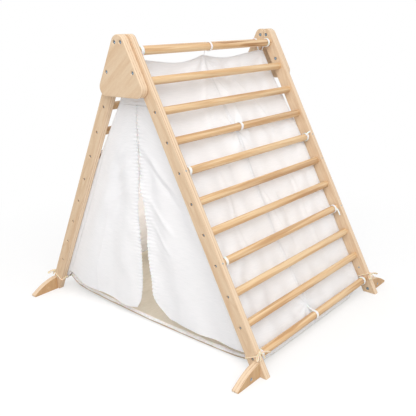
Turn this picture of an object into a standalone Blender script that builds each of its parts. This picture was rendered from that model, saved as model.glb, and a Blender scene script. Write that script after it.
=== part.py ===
"""A climbing triangle: two ladders of round rungs bolted together at the ridge, with a cloth tent inside.

World frame in metres. X runs along the rungs, the front ladder leans to -Y, Z is up and the floor is
at zero, with the origin midway between the feet. Each ladder hangs from an empty at its top rung:
there X runs along the rung, Y points into the tent and Z points up the slope of the ladder.
"""

import math

import bmesh
import bpy
import numpy as np
from mathutils import Euler

# Ladders
RUNG_COUNT = 11
RUNG_PITCH = 0.092
RUNG_RADIUS = 0.012
LADDER_ANGLE = math.radians(62.7)
FRAME_WIDTH = 0.692
UPRIGHT_WIDTH = 0.042
UPRIGHT_THICKNESS = 0.021
BOTTOM_RUNG_HEIGHT = 0.0465
TOP_RUNG_SETBACK = 0.0262
TENON_DEPTH = 0.014
EDGE_EASE = 0.0015
CLEARANCE = 0.0003
ROUND_SIDES = 12

# Bolts, screws and the sleeves they turn in
RUNG_BOLT_RADIUS = 0.0045
HEAD_RECESS = 0.0006
LOCKED_RUNGS = (5, 8)
LOCK_SCREW_RADIUS = 0.0025
BOLT_SHANK_RADIUS = 0.003
BOLT_HEAD_RADIUS = 0.0052
BOLT_HEAD_HEIGHT = 0.003
BOLT_SIDES = 8
INSERT_RADIUS = 0.003
INSERT_DEPTH = 0.013
INSERT_RISE = 0.046

# Apex brackets
BRACKET_THICKNESS = 0.025
BRACKET_TOP_RADIUS = 0.027
BRACKET_TOP_DROP = 0.006
BRACKET_CORNER_RADIUS = 0.025
BRACKET_CORNER_OUT = 0.0098
BRACKET_CORNER_DROP = 0.0445
UPPER_BOLT_RISE = 0.0299
LOWER_BOLT_DROP = 0.0633

# Feet
FOOT_LENGTH = 0.1
FOOT_HEIGHT = 0.046
FOOT_THICKNESS = 0.021
FOOT_TIP_RADIUS = 0.0045
FOOT_TOP_LAND = 0.006
FOOT_CROWN = 0.006
FOOT_BOLT_HEIGHT = 0.0145
BARREL_REACH = 0.0395
BARREL_RADIUS = 0.005

# Tent cover
FABRIC = 0.002
COVER_GAP = 0.006
SEAM_GAP = 0.0005
END_INSET = 0.009
FLOOR_GAP = 0.0008
SHEET_INSET = 0.01
SHEET_DRAW = 0.014
CORNER_LIFT = 0.03
CORNER_START_SHARE = 0.62
FLOOR_END_SHARE = 0.7
FLOOR_SIDE_SHARE = 0.8

# Folds of the sloping panels: long ones down the slope, crossed by a weaker set
PANEL_FOLD = 0.0035
PANEL_WAVES = 5
PANEL_SLANT = 1.3
CROSS_WAVES = 3
CROSS_SLANT = 2.2
CROSS_FOLD_SHARE = 0.6
FOLD_FADE = 0.05
FOLDED_COLUMNS = 6
PANEL_ROWS = 11
BEND_ROWS = 2

# Ridge seam of the cover: how far it hangs below the top rungs, and where the panels turn in to it
RIDGE_DROP = 0.028
RIDGE_SAG = 0.016
RIDGE_BEND = 0.1

# Cloth across the two ends of the tent
END_TOP_DROP = 0.034
END_FOLD = 0.005
END_WAVES = 3.4
END_SLANT = 0.8
END_STILL_SHARE = 0.25
END_HEM_SHARE = 0.15

# Door flaps and the slit between them
DOOR_TOP_DROP = 0.152
FLAP_HEM_HEIGHT = 0.045
FLAP_CORNER_RISE = 0.022
FLAP_CORNER_SHARE = 0.25
FRONT_CORNER_SHARE = 0.25
FLAP_SEAM_GAP = 0.0008
FLAP_HINGE_INSET = 0.0045
FLAP_EDGE = 0.002
SLIT_CENTRE = -0.004
SLIT_START = 0.001
SLIT_BACK_OPEN = 0.03
SLIT_FRONT_OPEN = 0.019
SLIT_FRONT_SWEEP = 0.055
SLIT_SWEEP_HEIGHT = 0.2
SLIT_SWEEP_POWER = 1.6

# Tapes and ties that hold the cover to the rungs
TAPE_WIDTH = 0.01
TAPE_THICKNESS = 0.0012
TAPE_INSET = 0.0015
TAPE_TAB = 0.005
TIE_WIDTH = 0.005
TIE_THICKNESS = 0.0012
TIE_TIP_RADIUS = 0.0008
TIE_WRAP = 1.5 * math.pi
MIDDLE_TIE_X = -0.01
SIDE_TIE_RUNGS = (1, 5, 8, 11)
MIDDLE_TIE_RUNGS = (4, 11)

# Natural cords round the uprights
CORD_RADIUS = 0.0014
CORD_SLACK = 0.0004
CORD_RISE = 0.0155
KNOT_RADIUS = 0.0042
BOW_LENGTH = 0.022
BOW_WIDTH = 0.011
BOW_DROOP = 0.012
BOW_STEPS = 6
BOW_TAPER_SHARE = 0.8
TAIL_LENGTH = 0.02

# Worked out from the sizes above
COS = math.cos(LADDER_ANGLE)
SIN = math.sin(LADDER_ANGLE)
OUTER_HALF = FRAME_WIDTH / 2
INNER_HALF = OUTER_HALF - UPRIGHT_THICKNESS
UPRIGHT_MIDDLE = INNER_HALF + UPRIGHT_THICKNESS / 2
JOINT_THICKNESS = UPRIGHT_THICKNESS + CLEARANCE + BRACKET_THICKNESS
JOINT_MIDDLE = INNER_HALF + JOINT_THICKNESS / 2
LADDER_RUN = (RUNG_COUNT - 1) * RUNG_PITCH
TOP_RUNG_HEIGHT = BOTTOM_RUNG_HEIGHT + LADDER_RUN * SIN
PANEL_OFFSET = UPRIGHT_WIDTH / 2 + COVER_GAP
END_X = INNER_HALF - END_INSET
PANEL_HALF = END_X - FABRIC / 2 - SEAM_GAP
TAPE_ZONE = TAPE_WIDTH + 2 * TAPE_INSET
OVERRUN = UPRIGHT_THICKNESS / 4
WELD = CLEARANCE / 10

# Turns, sides and looks
STAND = (math.pi / 2, 0, math.pi / 2)
ACROSS = (math.pi / 2, 0, 0)
SHARP_EDGE = math.radians(35)
HANDS = ((-1, "left"), (1, "right"))
LADDERS = ((-1, "front"), (1, "back"))
WOOD = {"colour": (0.78, 0.56, 0.36), "roughness": 0.55, "metallic": 0.0}
RUNG_WOOD = {"colour": (0.74, 0.48, 0.25), "roughness": 0.5, "metallic": 0.0}
STEEL = {"colour": (0.42, 0.47, 0.53), "roughness": 0.35, "metallic": 1.0}
CLOTH = {"colour": (0.87, 0.87, 0.88), "roughness": 0.9, "metallic": 0.0}
CORD = {"colour": (0.72, 0.6, 0.44), "roughness": 0.9, "metallic": 0.0}
joins = []


def clear_scene():
    for old in list(bpy.data.objects):
        bpy.data.objects.remove(old, do_unlink=True)


def collection(name, parent=None, hidden=False):
    made = bpy.data.collections.new(name)
    (parent or bpy.context.scene.collection).children.link(made)
    made.hide_render = hidden
    return made


def material(name, look):
    made = bpy.data.materials.get(name) or bpy.data.materials.new(name)
    made.use_nodes = True
    shader = made.node_tree.nodes["Principled BSDF"]
    shader.inputs["Base Color"].default_value = (*look["colour"], 1)
    shader.inputs["Roughness"].default_value = look["roughness"]
    shader.inputs["Metallic"].default_value = look["metallic"]
    return made


def place(name, data, group, parent=None, location=(0, 0, 0), rotation=(0, 0, 0)):
    made = bpy.data.objects.new(name, data)
    made.parent = parent
    made.location = location
    made.rotation_euler = rotation
    group.objects.link(made)
    return made


def as_guide(piece):
    """Shows a piece as wires only, because another piece is cut or joined by it."""
    piece.hide_render = True
    piece.display_type = "WIRE"
    return piece


def cutter(name, data, group, parent=None, location=(0, 0, 0), rotation=(0, 0, 0)):
    return as_guide(place(name, data, group, parent, location, rotation))


def paint(piece, name, look):
    piece.data.materials.clear()
    piece.data.materials.append(material(name, look))
    return piece


def join(piece, group, operation):
    """Notes that a piece is cut or joined by a group. The modifiers go on last, once all shapes are made."""
    joins.append((piece, group, operation))
    return piece


def apply_joins():
    for piece, group, operation in joins:
        change = piece.modifiers.new(operation.lower(), "BOOLEAN")
        change.operation = operation
        change.operand_type = "COLLECTION"
        change.collection = group
        change.solver = "EXACT"


def arc(centre, radius, start, end, steps):
    """Points on an arc, from one angle to the other."""
    angles = [start + (end - start) * i / steps for i in range(steps + 1)]
    return [(centre[0] + radius * math.cos(a), centre[1] + radius * math.sin(a)) for a in angles]


def band_round(circles):
    """The outline of a band pulled tight round circles, each with its steps, listed anticlockwise."""
    leaves = []
    for i, (centre, radius, _) in enumerate(circles):
        other, reach, _ = circles[(i + 1) % len(circles)]
        heading = math.atan2(other[1] - centre[1], other[0] - centre[0])
        leaves.append(heading - math.acos((radius - reach) / math.dist(centre, other)))
    points = []
    for i, (centre, radius, steps) in enumerate(circles):
        start = leaves[i - 1]
        sweep = (leaves[i] - start) % math.tau
        points += arc(centre, radius, start, start + sweep, steps)
    return points


def profile_mesh(name, profile):
    """A half section as radius and height pairs, listed from the top down."""
    made = bpy.data.meshes.new(name)
    points = [(radius, 0, height) for radius, height in profile]
    edges = [(i, i + 1) for i in range(len(points) - 1)]
    made.from_pydata(points, edges, [])
    return made


def turn(piece, sides):
    """Turns a half section round its own Z."""
    screw = piece.modifiers.new("turn", "SCREW")
    screw.steps = sides
    screw.render_steps = sides
    screw.use_merge_vertices = True
    screw.merge_threshold = WELD
    return piece


def flat_curve(name, points, thickness, ease=0, filled=True):
    """An outline in its own XY plane, thickened along Z, with its edges eased by a chamfer."""
    data = bpy.data.curves.new(name, "CURVE")
    data.dimensions = "2D"
    data.fill_mode = "BOTH" if filled else "NONE"
    data.extrude = thickness / 2 - ease
    data.bevel_depth = ease
    data.bevel_resolution = 0
    data.offset = -ease
    spline = data.splines.new("POLY")
    spline.points.add(len(points) - 1)
    spline.points.foreach_set("co", [c for x, y in points for c in (x, y, 0, 1)])
    spline.use_cyclic_u = True
    return data


def tube_curve(name, points, radius, closed=False):
    """A round cord along points in space."""
    data = bpy.data.curves.new(name, "CURVE")
    data.dimensions = "3D"
    data.bevel_depth = radius
    data.bevel_resolution = 1
    data.use_fill_caps = not closed
    spline = data.splines.new("POLY")
    spline.points.add(len(points) - 1)
    spline.points.foreach_set("co", [c for x, y, z in points for c in (x, y, z, 1)])
    spline.use_cyclic_u = closed
    return data


def as_mesh(piece):
    """Swaps a curve object for a welded mesh of the same place, name and parent."""
    bpy.context.view_layer.update()
    seen = piece.evaluated_get(bpy.context.evaluated_depsgraph_get())
    mesh = bpy.data.meshes.new_from_object(seen)
    shape = bmesh.new()
    shape.from_mesh(mesh)
    bmesh.ops.remove_doubles(shape, verts=shape.verts, dist=WELD)
    bmesh.ops.recalc_face_normals(shape, faces=shape.faces)
    shape.to_mesh(mesh)
    shape.free()
    name = piece.name
    group = piece.users_collection[0]
    made = bpy.data.objects.new(name, mesh)
    made.parent = piece.parent
    made.matrix_world = piece.matrix_world
    group.objects.link(made)
    bpy.data.objects.remove(piece)
    made.name = name
    return made


def cylinder_mesh(name, radius, length, sides):
    """A cylinder along its own Z, centred."""
    mesh = bpy.data.meshes.new(name)
    shape = bmesh.new()
    bmesh.ops.create_cone(
        shape, cap_ends=True, segments=sides, radius1=radius, radius2=radius, depth=length
    )
    shape.to_mesh(mesh)
    shape.free()
    return mesh


def ball_mesh(name, radius):
    mesh = bpy.data.meshes.new(name)
    shape = bmesh.new()
    bmesh.ops.create_icosphere(shape, subdivisions=1, radius=radius)
    shape.to_mesh(mesh)
    shape.free()
    return mesh


def cloth_mesh(name, columns, rows, shape):
    """A grid of cloth. The shape turns columns u and rows v, each from zero to one, into points."""
    mesh = bpy.data.meshes.new(name)
    grid = bmesh.new()
    bmesh.ops.create_grid(grid, x_segments=columns, y_segments=rows, size=1)
    grid.to_mesh(mesh)
    grid.free()
    flat = np.empty(len(mesh.vertices) * 3)
    mesh.vertices.foreach_get("co", flat)
    flat = flat.reshape(-1, 3)
    u = (flat[:, 0] + 1) / 2
    v = (flat[:, 1] + 1) / 2
    points = np.stack(shape(u, v), axis=1)
    mesh.vertices.foreach_set("co", points.ravel())
    mesh.update()
    return mesh


def thicken(piece, thickness):
    solid = piece.modifiers.new("thickness", "SOLIDIFY")
    solid.thickness = thickness
    solid.offset = 0
    return piece


def smooth(t):
    """From zero to one, level at both ends."""
    t = np.clip(t, 0, 1)
    return t * t * (3 - 2 * t)


def half_width(height, offset):
    """How far from the mid-plane a line lies, at a height, if it runs this far inside the rungs."""
    down = (TOP_RUNG_HEIGHT - offset * COS - height) / SIN
    return TOP_RUNG_SETBACK + down * COS - offset * SIN


def rung_drop(number):
    return (number - 1) * RUNG_PITCH


def along(side):
    """The turn that points a piece's own Z along X, to the given side."""
    return (0, side * math.pi / 2, 0)


def upright_outline():
    """Level at the floor, round over the top bolt and flat where the two ladders meet."""
    half = UPRIGHT_WIDTH / 2
    meet = CLEARANCE / 2
    lean = math.pi / 2 - LADDER_ANGLE
    bolt_out = TOP_RUNG_SETBACK - UPPER_BOLT_RISE * COS
    spread = math.acos((bolt_out - meet) / half)
    floor = [(y, (y * COS - TOP_RUNG_HEIGHT) / SIN) for y in (-half, half)]
    flat_end = (half, (TOP_RUNG_SETBACK - meet - half * SIN) / COS)
    top = arc((0, UPPER_BOLT_RISE), half, lean + spread, math.pi, ROUND_SIDES // 2)
    return [*floor, flat_end, *top]


def rung_profile():
    """A rung with the bolts that hold its two ends."""
    end = INNER_HALF + TENON_DEPTH - CLEARANCE
    tip = OUTER_HALF - HEAD_RECESS
    half = [(0, tip), (RUNG_BOLT_RADIUS, tip), (RUNG_BOLT_RADIUS, end), (RUNG_RADIUS, end)]
    return half + [(radius, -height) for radius, height in reversed(half)]


def pocket_profile():
    """The blind pocket for a rung and the hole of its bolt, from the inner face outwards."""
    wide = RUNG_RADIUS + CLEARANCE
    narrow = RUNG_BOLT_RADIUS + CLEARANCE
    through = UPRIGHT_THICKNESS + OVERRUN
    return [(0, through), (narrow, through), (narrow, TENON_DEPTH), (wide, TENON_DEPTH),
            (wide, -OVERRUN), (0, -OVERRUN)]


def bolt_profile(grow=0, overrun=0):
    """A bolt with a head on top and a flanged nut below, or with growth the hole that it needs."""
    face = JOINT_THICKNESS / 2
    top = face + overrun if grow else face - HEAD_RECESS
    head = BOLT_HEAD_RADIUS + grow
    shank = BOLT_SHANK_RADIUS + grow
    under = face - HEAD_RECESS - BOLT_HEAD_HEIGHT - grow
    return [(0, top), (head, top), (head, under), (shank, under),
            (shank, -under), (head, -under), (head, -top), (0, -top)]


def foot_bolt_profile(grow=0, overrun=0):
    """A bolt from the inner face of an upright to the barrel nut in its foot, head first."""
    head = BOLT_HEAD_RADIUS + grow
    shank = BOLT_SHANK_RADIUS + grow
    top = overrun if grow else -HEAD_RECESS
    under = -HEAD_RECESS - BOLT_HEAD_HEIGHT - grow
    end = -UPRIGHT_THICKNESS - BARREL_REACH - grow
    return [(0, top), (head, top), (head, under), (shank, under), (shank, end), (0, end)]


def foot_y():
    """How far out the foot bolts lie, on the middle line of the uprights."""
    return TOP_RUNG_SETBACK + (TOP_RUNG_HEIGHT - FOOT_BOLT_HEIGHT) * COS / SIN


def drill_upright(name, side, back, ladder, cutters):
    """What is cut from an upright: rung pockets and the holes of its screws, insert and bolts."""
    holes = collection(f"{name}_holes", cutters, hidden=True)
    pocket = profile_mesh("pocket", pocket_profile())
    sink = profile_mesh("bolt_hole", bolt_profile(CLEARANCE, OVERRUN))
    foot_sink = profile_mesh("foot_bolt_hole", foot_bolt_profile(CLEARANCE, OVERRUN))
    screw_depth = UPRIGHT_WIDTH / 2 + OVERRUN
    screw_hole = cylinder_mesh("lock_screw_hole", LOCK_SCREW_RADIUS + CLEARANCE, screw_depth, BOLT_SIDES)
    insert = cylinder_mesh("insert_hole", INSERT_RADIUS, INSERT_DEPTH + OVERRUN, BOLT_SIDES)
    for number in range(1, RUNG_COUNT + 1):
        at = (side * INNER_HALF, 0, -rung_drop(number))
        turn(cutter(f"{name}_pocket_{number:02d}", pocket, holes, ladder, at, along(side)), ROUND_SIDES)
    for number in LOCKED_RUNGS:
        at = (side * UPRIGHT_MIDDLE, -(screw_depth + OVERRUN) / 2, -rung_drop(number))
        cutter(f"{name}_lock_hole_{number:02d}", screw_hole, holes, ladder, at, ACROSS)
    at = (side * (INNER_HALF + (INSERT_DEPTH - OVERRUN) / 2), 0, INSERT_RISE - LADDER_RUN)
    cutter(f"{name}_insert_hole", insert, holes, ladder, at, along(side))
    for level, rise in (("upper", UPPER_BOLT_RISE), ("lower", -LOWER_BOLT_DROP)):
        at = (side * JOINT_MIDDLE, 0, rise)
        turn(cutter(f"{name}_{level}_bolt_hole", sink, holes, ladder, at, along(side)), BOLT_SIDES)
    outward = -side * back
    at = (outward * INNER_HALF, back * foot_y(), FOOT_BOLT_HEIGHT)
    turn(cutter(f"{name}_foot_bolt_hole", foot_sink, holes, None, at, along(-outward)), BOLT_SIDES)
    return holes


def make_upright(name, side, back, ladder, parts, cutters):
    data = flat_curve(name, upright_outline(), UPRIGHT_THICKNESS, EDGE_EASE)
    upright = as_mesh(place(name, data, parts, ladder, (side * UPRIGHT_MIDDLE, 0, 0), STAND))
    join(upright, drill_upright(name, side, back, ladder, cutters), "DIFFERENCE")
    paint(upright, "birch_plywood", WOOD)


def make_rungs(name, ladder, parts, cutters):
    """The rungs with their end bolts. Some also hold the screws that lock them from the outer edges."""
    rung = profile_mesh("rung", rung_profile())
    length = UPRIGHT_WIDTH / 2 - HEAD_RECESS
    screw = cylinder_mesh("lock_screw", LOCK_SCREW_RADIUS, length, BOLT_SIDES)
    for number in range(1, RUNG_COUNT + 1):
        rung_name = f"{name}_rung_{number:02d}"
        piece = place(rung_name, rung.copy(), parts, ladder, (0, 0, -rung_drop(number)), along(1))
        turn(piece, ROUND_SIDES)
        if number in LOCKED_RUNGS:
            screws = collection(f"{rung_name}_screws", cutters, hidden=True)
            for side, hand in HANDS:
                at = (side * UPRIGHT_MIDDLE, -length / 2, -rung_drop(number))
                cutter(f"{rung_name}_{hand}_screw", screw, screws, ladder, at, ACROSS)
            join(piece, screws, "UNION")
        paint(piece, "rung_beech", RUNG_WOOD)


def make_ladder(name, back, parts, cutters):
    """An empty at the top rung, with an upright at each side and the rungs between them."""
    at = (0, back * TOP_RUNG_SETBACK, TOP_RUNG_HEIGHT)
    facing = (LADDER_ANGLE - math.pi / 2, 0, math.pi if back > 0 else 0)
    ladder = place(f"{name}_ladder", None, parts, None, at, facing)
    for side, hand in HANDS:
        make_upright(f"{name}_{hand}_upright", -side * back, back, ladder, parts, cutters)
    make_rungs(name, ladder, parts, cutters)
    return ladder


def bracket_bolts():
    """The bolts of one bracket, as distances from the mid-plane and heights."""
    upper = (TOP_RUNG_SETBACK - UPPER_BOLT_RISE * COS, TOP_RUNG_HEIGHT + UPPER_BOLT_RISE * SIN)
    lower = (TOP_RUNG_SETBACK + LOWER_BOLT_DROP * COS, TOP_RUNG_HEIGHT - LOWER_BOLT_DROP * SIN)
    return {"upper": upper, "lower": lower}


def bracket_outline():
    """A triangle with round corners, its top over the upper bolts."""
    upper, lower = bracket_bolts().values()
    out = lower[0] + BRACKET_CORNER_OUT
    low = lower[1] - BRACKET_CORNER_DROP
    steps = ROUND_SIDES // 2
    top = ((0, upper[1] - BRACKET_TOP_DROP), BRACKET_TOP_RADIUS, steps)
    corners = [((side * out, low), BRACKET_CORNER_RADIUS, steps) for side in (-1, 1)]
    return band_round([*corners, top])


def make_brackets(parts, cutters):
    """The two brackets, each with four bolts that also pass through the uprights."""
    hole = profile_mesh("bracket_hole", bolt_profile(CLEARANCE, OVERRUN))
    bolt = profile_mesh("bracket_bolt", bolt_profile())
    for side, hand in HANDS:
        holes = collection(f"{hand}_bracket_holes", cutters, hidden=True)
        for back, ladder in LADDERS:
            lean = Euler((-back * (LADDER_ANGLE - math.pi / 2), 0, 0)).to_matrix()
            facing = (lean @ Euler(along(side)).to_matrix()).to_euler()
            for level, (out, height) in bracket_bolts().items():
                name = f"{hand}_{ladder}_{level}_bracket_bolt"
                at = (side * JOINT_MIDDLE, back * out, height)
                turn(cutter(f"{name}_hole", hole, holes, None, at, facing), BOLT_SIDES)
                piece = turn(place(name, bolt.copy(), parts, None, at, facing), BOLT_SIDES)
                paint(piece, "zinc_steel", STEEL)
        name = f"{hand}_apex_bracket"
        data = flat_curve(name, bracket_outline(), BRACKET_THICKNESS, EDGE_EASE)
        at = (side * (OUTER_HALF + CLEARANCE + BRACKET_THICKNESS / 2), 0, 0)
        bracket = as_mesh(place(name, data, parts, None, at, STAND))
        join(bracket, holes, "DIFFERENCE")
        paint(bracket, "birch_plywood", WOOD)


def foot_outline(side):
    """A low outrigger: flat on the floor, crowned along the top, with a small round tip."""
    tip = FOOT_TIP_RADIUS
    reach = FOOT_LENGTH - tip
    steps = ROUND_SIDES // 2
    ridge = []
    for i in range(steps + 1):
        t = i / steps
        x = FOOT_TOP_LAND + (reach - FOOT_TOP_LAND) * t
        crown = FOOT_CROWN * math.sin(math.pi * t)
        ridge.append((x, FOOT_HEIGHT + (2 * tip - FOOT_HEIGHT) * t + crown))
    nose = arc((reach, tip), tip, math.pi / 2, -math.pi / 2, steps // 2)[1:]
    outline = [(0, 0), (0, FOOT_HEIGHT), *ridge, *nose]
    return [(side * x, z) for x, z in outline]


def make_foot(name, side, back, parts, cutters):
    """A foot against the outer face of an upright, with its bolt and the barrel nut across it."""
    holes = collection(f"{name}_holes", cutters, hidden=True)
    nut = collection(f"{name}_nut", cutters, hidden=True)
    bolt = profile_mesh("foot_bolt", foot_bolt_profile())
    bolt_hole = profile_mesh("foot_bolt_hole", foot_bolt_profile(CLEARANCE, OVERRUN))
    barrel = cylinder_mesh("barrel", BARREL_RADIUS, FOOT_THICKNESS - 2 * HEAD_RECESS, BOLT_SIDES)
    barrel_hole = cylinder_mesh(
        "barrel_hole", BARREL_RADIUS + CLEARANCE, FOOT_THICKNESS + 2 * OVERRUN, BOLT_SIDES
    )
    y = back * foot_y()
    head = (side * INNER_HALF, y, FOOT_BOLT_HEIGHT)
    nut_at = (side * (OUTER_HALF + BARREL_REACH), y, FOOT_BOLT_HEIGHT)
    turn(cutter(f"{name}_bolt_hole", bolt_hole, holes, None, head, along(-side)), BOLT_SIDES)
    cutter(f"{name}_barrel_hole", barrel_hole, holes, None, nut_at, ACROSS)
    cutter(f"{name}_barrel", barrel, nut, None, nut_at, ACROSS)
    data = flat_curve(name, foot_outline(side), FOOT_THICKNESS, EDGE_EASE)
    foot = as_mesh(place(name, data, parts, None, (side * (OUTER_HALF + CLEARANCE), y, 0), ACROSS))
    join(foot, holes, "DIFFERENCE")
    paint(foot, "birch_plywood", WOOD)
    piece = turn(place(f"{name}_bolt", bolt, parts, None, head, along(-side)), BOLT_SIDES)
    join(piece, nut, "UNION")
    paint(piece, "zinc_steel", STEEL)


def corner_lift(reach):
    """How high the cover is held near its corners, where reach is one."""
    return CORNER_LIFT * smooth((reach - CORNER_START_SHARE) / (1 - CORNER_START_SHARE))


def ridge_seat(x):
    """Where a panel meets the other one at the ridge, as distances inward and down the slope."""
    hang = RIDGE_DROP + RIDGE_SAG * np.sin(math.pi * np.abs(x) / PANEL_HALF) ** 2
    run = TOP_RUNG_SETBACK - FABRIC / 2 * SIN - SEAM_GAP / 2
    return run * SIN + hang * COS, hang * SIN - run * COS


def panel_edges(x):
    """The top and bottom ends of a sloping panel, as distances down the slope from the top rung."""
    low = FLOOR_GAP + FABRIC + corner_lift(np.abs(x) / PANEL_HALF)
    bottom = (TOP_RUNG_HEIGHT - PANEL_OFFSET * COS - low) / SIN
    return ridge_seat(x)[1], bottom


def slope_rows(v, top, bottom, bend_share):
    """Distances down the slope from the bottom edge to the top one, with a row where the cloth turns."""
    lower = np.clip(v / bend_share, 0, 1)
    upper = np.clip((v - bend_share) / (1 - bend_share), 0, 1)
    return bottom + (RIDGE_BEND - bottom) * lower + (top - RIDGE_BEND) * upper


def panel_surface(x, down, outward=0):
    """Points of a sloping panel in its ladder's frame, with folds that die away at hems and seams."""
    across = np.abs(x) / PANEL_HALF
    run = down / LADDER_RUN
    inward, top = ridge_seat(x)
    turned = (inward - PANEL_OFFSET) * np.maximum((RIDGE_BEND - down) / (RIDGE_BEND - top), 0)
    from_hem = PANEL_HALF - TAPE_ZONE - np.abs(x)
    from_seam = np.abs(x - MIDDLE_TIE_X) - TAPE_ZONE / 2
    from_end = np.minimum(LADDER_RUN - down, down - top)
    calm = smooth(np.minimum(from_hem, from_seam) / FOLD_FADE) * smooth(from_end / FOLD_FADE)
    fold = np.sin(math.pi * (PANEL_WAVES * across + PANEL_SLANT * run))
    cross = np.sin(math.pi * (CROSS_SLANT * run - CROSS_WAVES * across))
    depth = PANEL_FOLD * calm * (fold + CROSS_FOLD_SHARE * cross) / (1 + CROSS_FOLD_SHARE)
    return x, PANEL_OFFSET + turned - outward + depth, -down


def make_panel(name, ladder, parts):
    """A sloping panel, with narrow flat columns of cloth under its tapes and folds between them."""
    hem = PANEL_HALF - TAPE_ZONE
    seam = (MIDDLE_TIE_X - TAPE_ZONE / 2, MIDDLE_TIE_X + TAPE_ZONE / 2)
    spans = (1, FOLDED_COLUMNS, 1, FOLDED_COLUMNS, 1)
    marks = np.cumsum((0, *spans)) / sum(spans)

    def shape(u, v):
        x = np.interp(u, marks, (-PANEL_HALF, -hem, *seam, hem, PANEL_HALF))
        return panel_surface(x, slope_rows(v, *panel_edges(x), 1 - BEND_ROWS / PANEL_ROWS))

    piece = place(name, cloth_mesh(name, sum(spans), PANEL_ROWS, shape), parts, ladder)
    paint(thicken(piece, FABRIC), "white_cotton", CLOTH)


def tape_offset():
    """From the panel's own surface out to the middle of a tape."""
    return FABRIC / 2 + CLEARANCE + TAPE_THICKNESS / 2


def tie_loop(name, centres, tip, x, group, parent):
    """A flat tie pulled round one or two rungs and drawn to a point on its tape."""
    steps = ROUND_SIDES // 2 + 1
    half_step = TIE_WRAP / steps / 2
    radius = (RUNG_RADIUS + CLEARANCE + TIE_THICKNESS / 2) / math.cos(half_step)
    circles = [(tip, TIE_TIP_RADIUS, 1)] + [(centre, radius, steps) for centre in centres]
    data = flat_curve(name, band_round(circles), TIE_WIDTH, filled=False)
    loop = as_guide(as_mesh(place(name, data, group, parent, (x, 0, 0), STAND)))
    thicken(loop, TIE_THICKNESS)


def make_tape(name, x, rungs, ladder, parts, cutters, ridge=False):
    """A tape sewn down a panel, with a tie for each of the given rungs, each seated on the tape."""

    def shape(u, v):
        across = x + TAPE_WIDTH * (u - 1 / 2)
        top, bottom = panel_edges(across)
        start = top - TAPE_TAB if ridge else top + TAPE_INSET
        return panel_surface(across, slope_rows(v, start, bottom - TAPE_INSET, 1 / 2), tape_offset())

    def seat(down):
        """The place on the tape's outer face where a tie is sewn to it."""
        inward = panel_surface(np.array([x]), down, tape_offset() + TIE_TIP_RADIUS)[1]
        return inward[0], -down

    ties = collection(f"{name}_ties", cutters, hidden=True)
    piece = thicken(place(name, cloth_mesh(name, 1, 2, shape), parts, ladder), TAPE_THICKNESS)
    top, bottom = (edge[0] for edge in panel_edges(np.array([x])))
    highest = top + TAPE_INSET + TIE_WIDTH / 2
    lowest = bottom - TAPE_INSET - TIE_WIDTH / 2
    for number in rungs:
        down = min(max(rung_drop(number), highest), lowest)
        tie_loop(f"{name}_tie_{number:02d}", [(0, -rung_drop(number))], seat(down), x, ties, ladder)
    if ridge:
        other_rung = (2 * TOP_RUNG_SETBACK * SIN, 2 * TOP_RUNG_SETBACK * COS)
        tie_loop(f"{name}_ridge_tie", [other_rung, (0, 0)], seat(top - TAPE_TAB / 2), x, ties, ladder)
    join(piece, ties, "UNION")
    paint(piece, "cotton_tape", CLOTH)


def end_shape(side, low, high, edges, fold_depth, hem_share=0):
    """Cloth across one end of the tent, between two heights and two side lines."""

    def shape(u, v):
        bottom = low(u)
        height = bottom + (high(u) - bottom) * v
        first, last = edges(height)
        y = first + (last - first) * u
        calm = smooth(u / END_STILL_SHARE) * smooth((1 - u) / END_STILL_SHARE)
        if hem_share:
            calm = calm * smooth(v / hem_share)
        fold = np.sin(math.pi * (END_WAVES * u + END_SLANT * v)) * (1 - v ** 2)
        return side * (END_X + fold_depth * calm * fold), y, height

    return shape


def end_edges(height):
    """The side lines of cloth that lies over the ends of both sloping panels, drawn in to the ridge."""
    bend = TOP_RUNG_HEIGHT - RIDGE_BEND * SIN - PANEL_OFFSET * COS
    ridge = TOP_RUNG_HEIGHT - RIDGE_DROP
    wide = half_width(np.minimum(height, bend), PANEL_OFFSET - FABRIC / 2)
    wide = wide * np.minimum((ridge - height) / (ridge - bend), 1)
    return -wide - FABRIC / 2, wide + FABRIC / 2


def end_top(u):
    return 0 * u + TOP_RUNG_HEIGHT - END_TOP_DROP


def make_end(parts):
    """The closed right end, with its edges over the ends of both panels."""

    def low(u):
        return FLOOR_GAP + FABRIC + corner_lift(np.abs(2 * u - 1))

    shape = end_shape(1, low, end_top, end_edges, END_FOLD, END_HEM_SHARE)
    piece = place("right_end_panel", cloth_mesh("right_end_panel", 12, 8, shape), parts)
    paint(thicken(piece, FABRIC), "white_cotton", CLOTH)


def make_yoke(parts):
    """The fixed top of the door end, above the slit, drawn flat by its seams."""

    def low(u):
        return 0 * u + TOP_RUNG_HEIGHT - DOOR_TOP_DROP

    shape = end_shape(-1, low, end_top, end_edges, 0)
    piece = place("door_yoke", cloth_mesh("door_yoke", 4, 2, shape), parts)
    paint(thicken(piece, FABRIC), "white_cotton", CLOTH)


def slit_edge(height, back):
    """Where the slit edge of a flap hangs, at a height: each flap falls away from the other."""
    top = TOP_RUNG_HEIGHT - DOOR_TOP_DROP
    fall = np.clip((top - height) / (top - FLAP_HEM_HEIGHT), 0, 1)
    if back > 0:
        return SLIT_CENTRE + SLIT_START + SLIT_BACK_OPEN * fall
    sweep = np.clip((SLIT_SWEEP_HEIGHT - height) / (SLIT_SWEEP_HEIGHT - FLAP_HEM_HEIGHT), 0, 1)
    swept = SLIT_FRONT_SWEEP * sweep ** SLIT_SWEEP_POWER
    return SLIT_CENTRE - SLIT_START - SLIT_FRONT_OPEN * fall - swept


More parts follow.
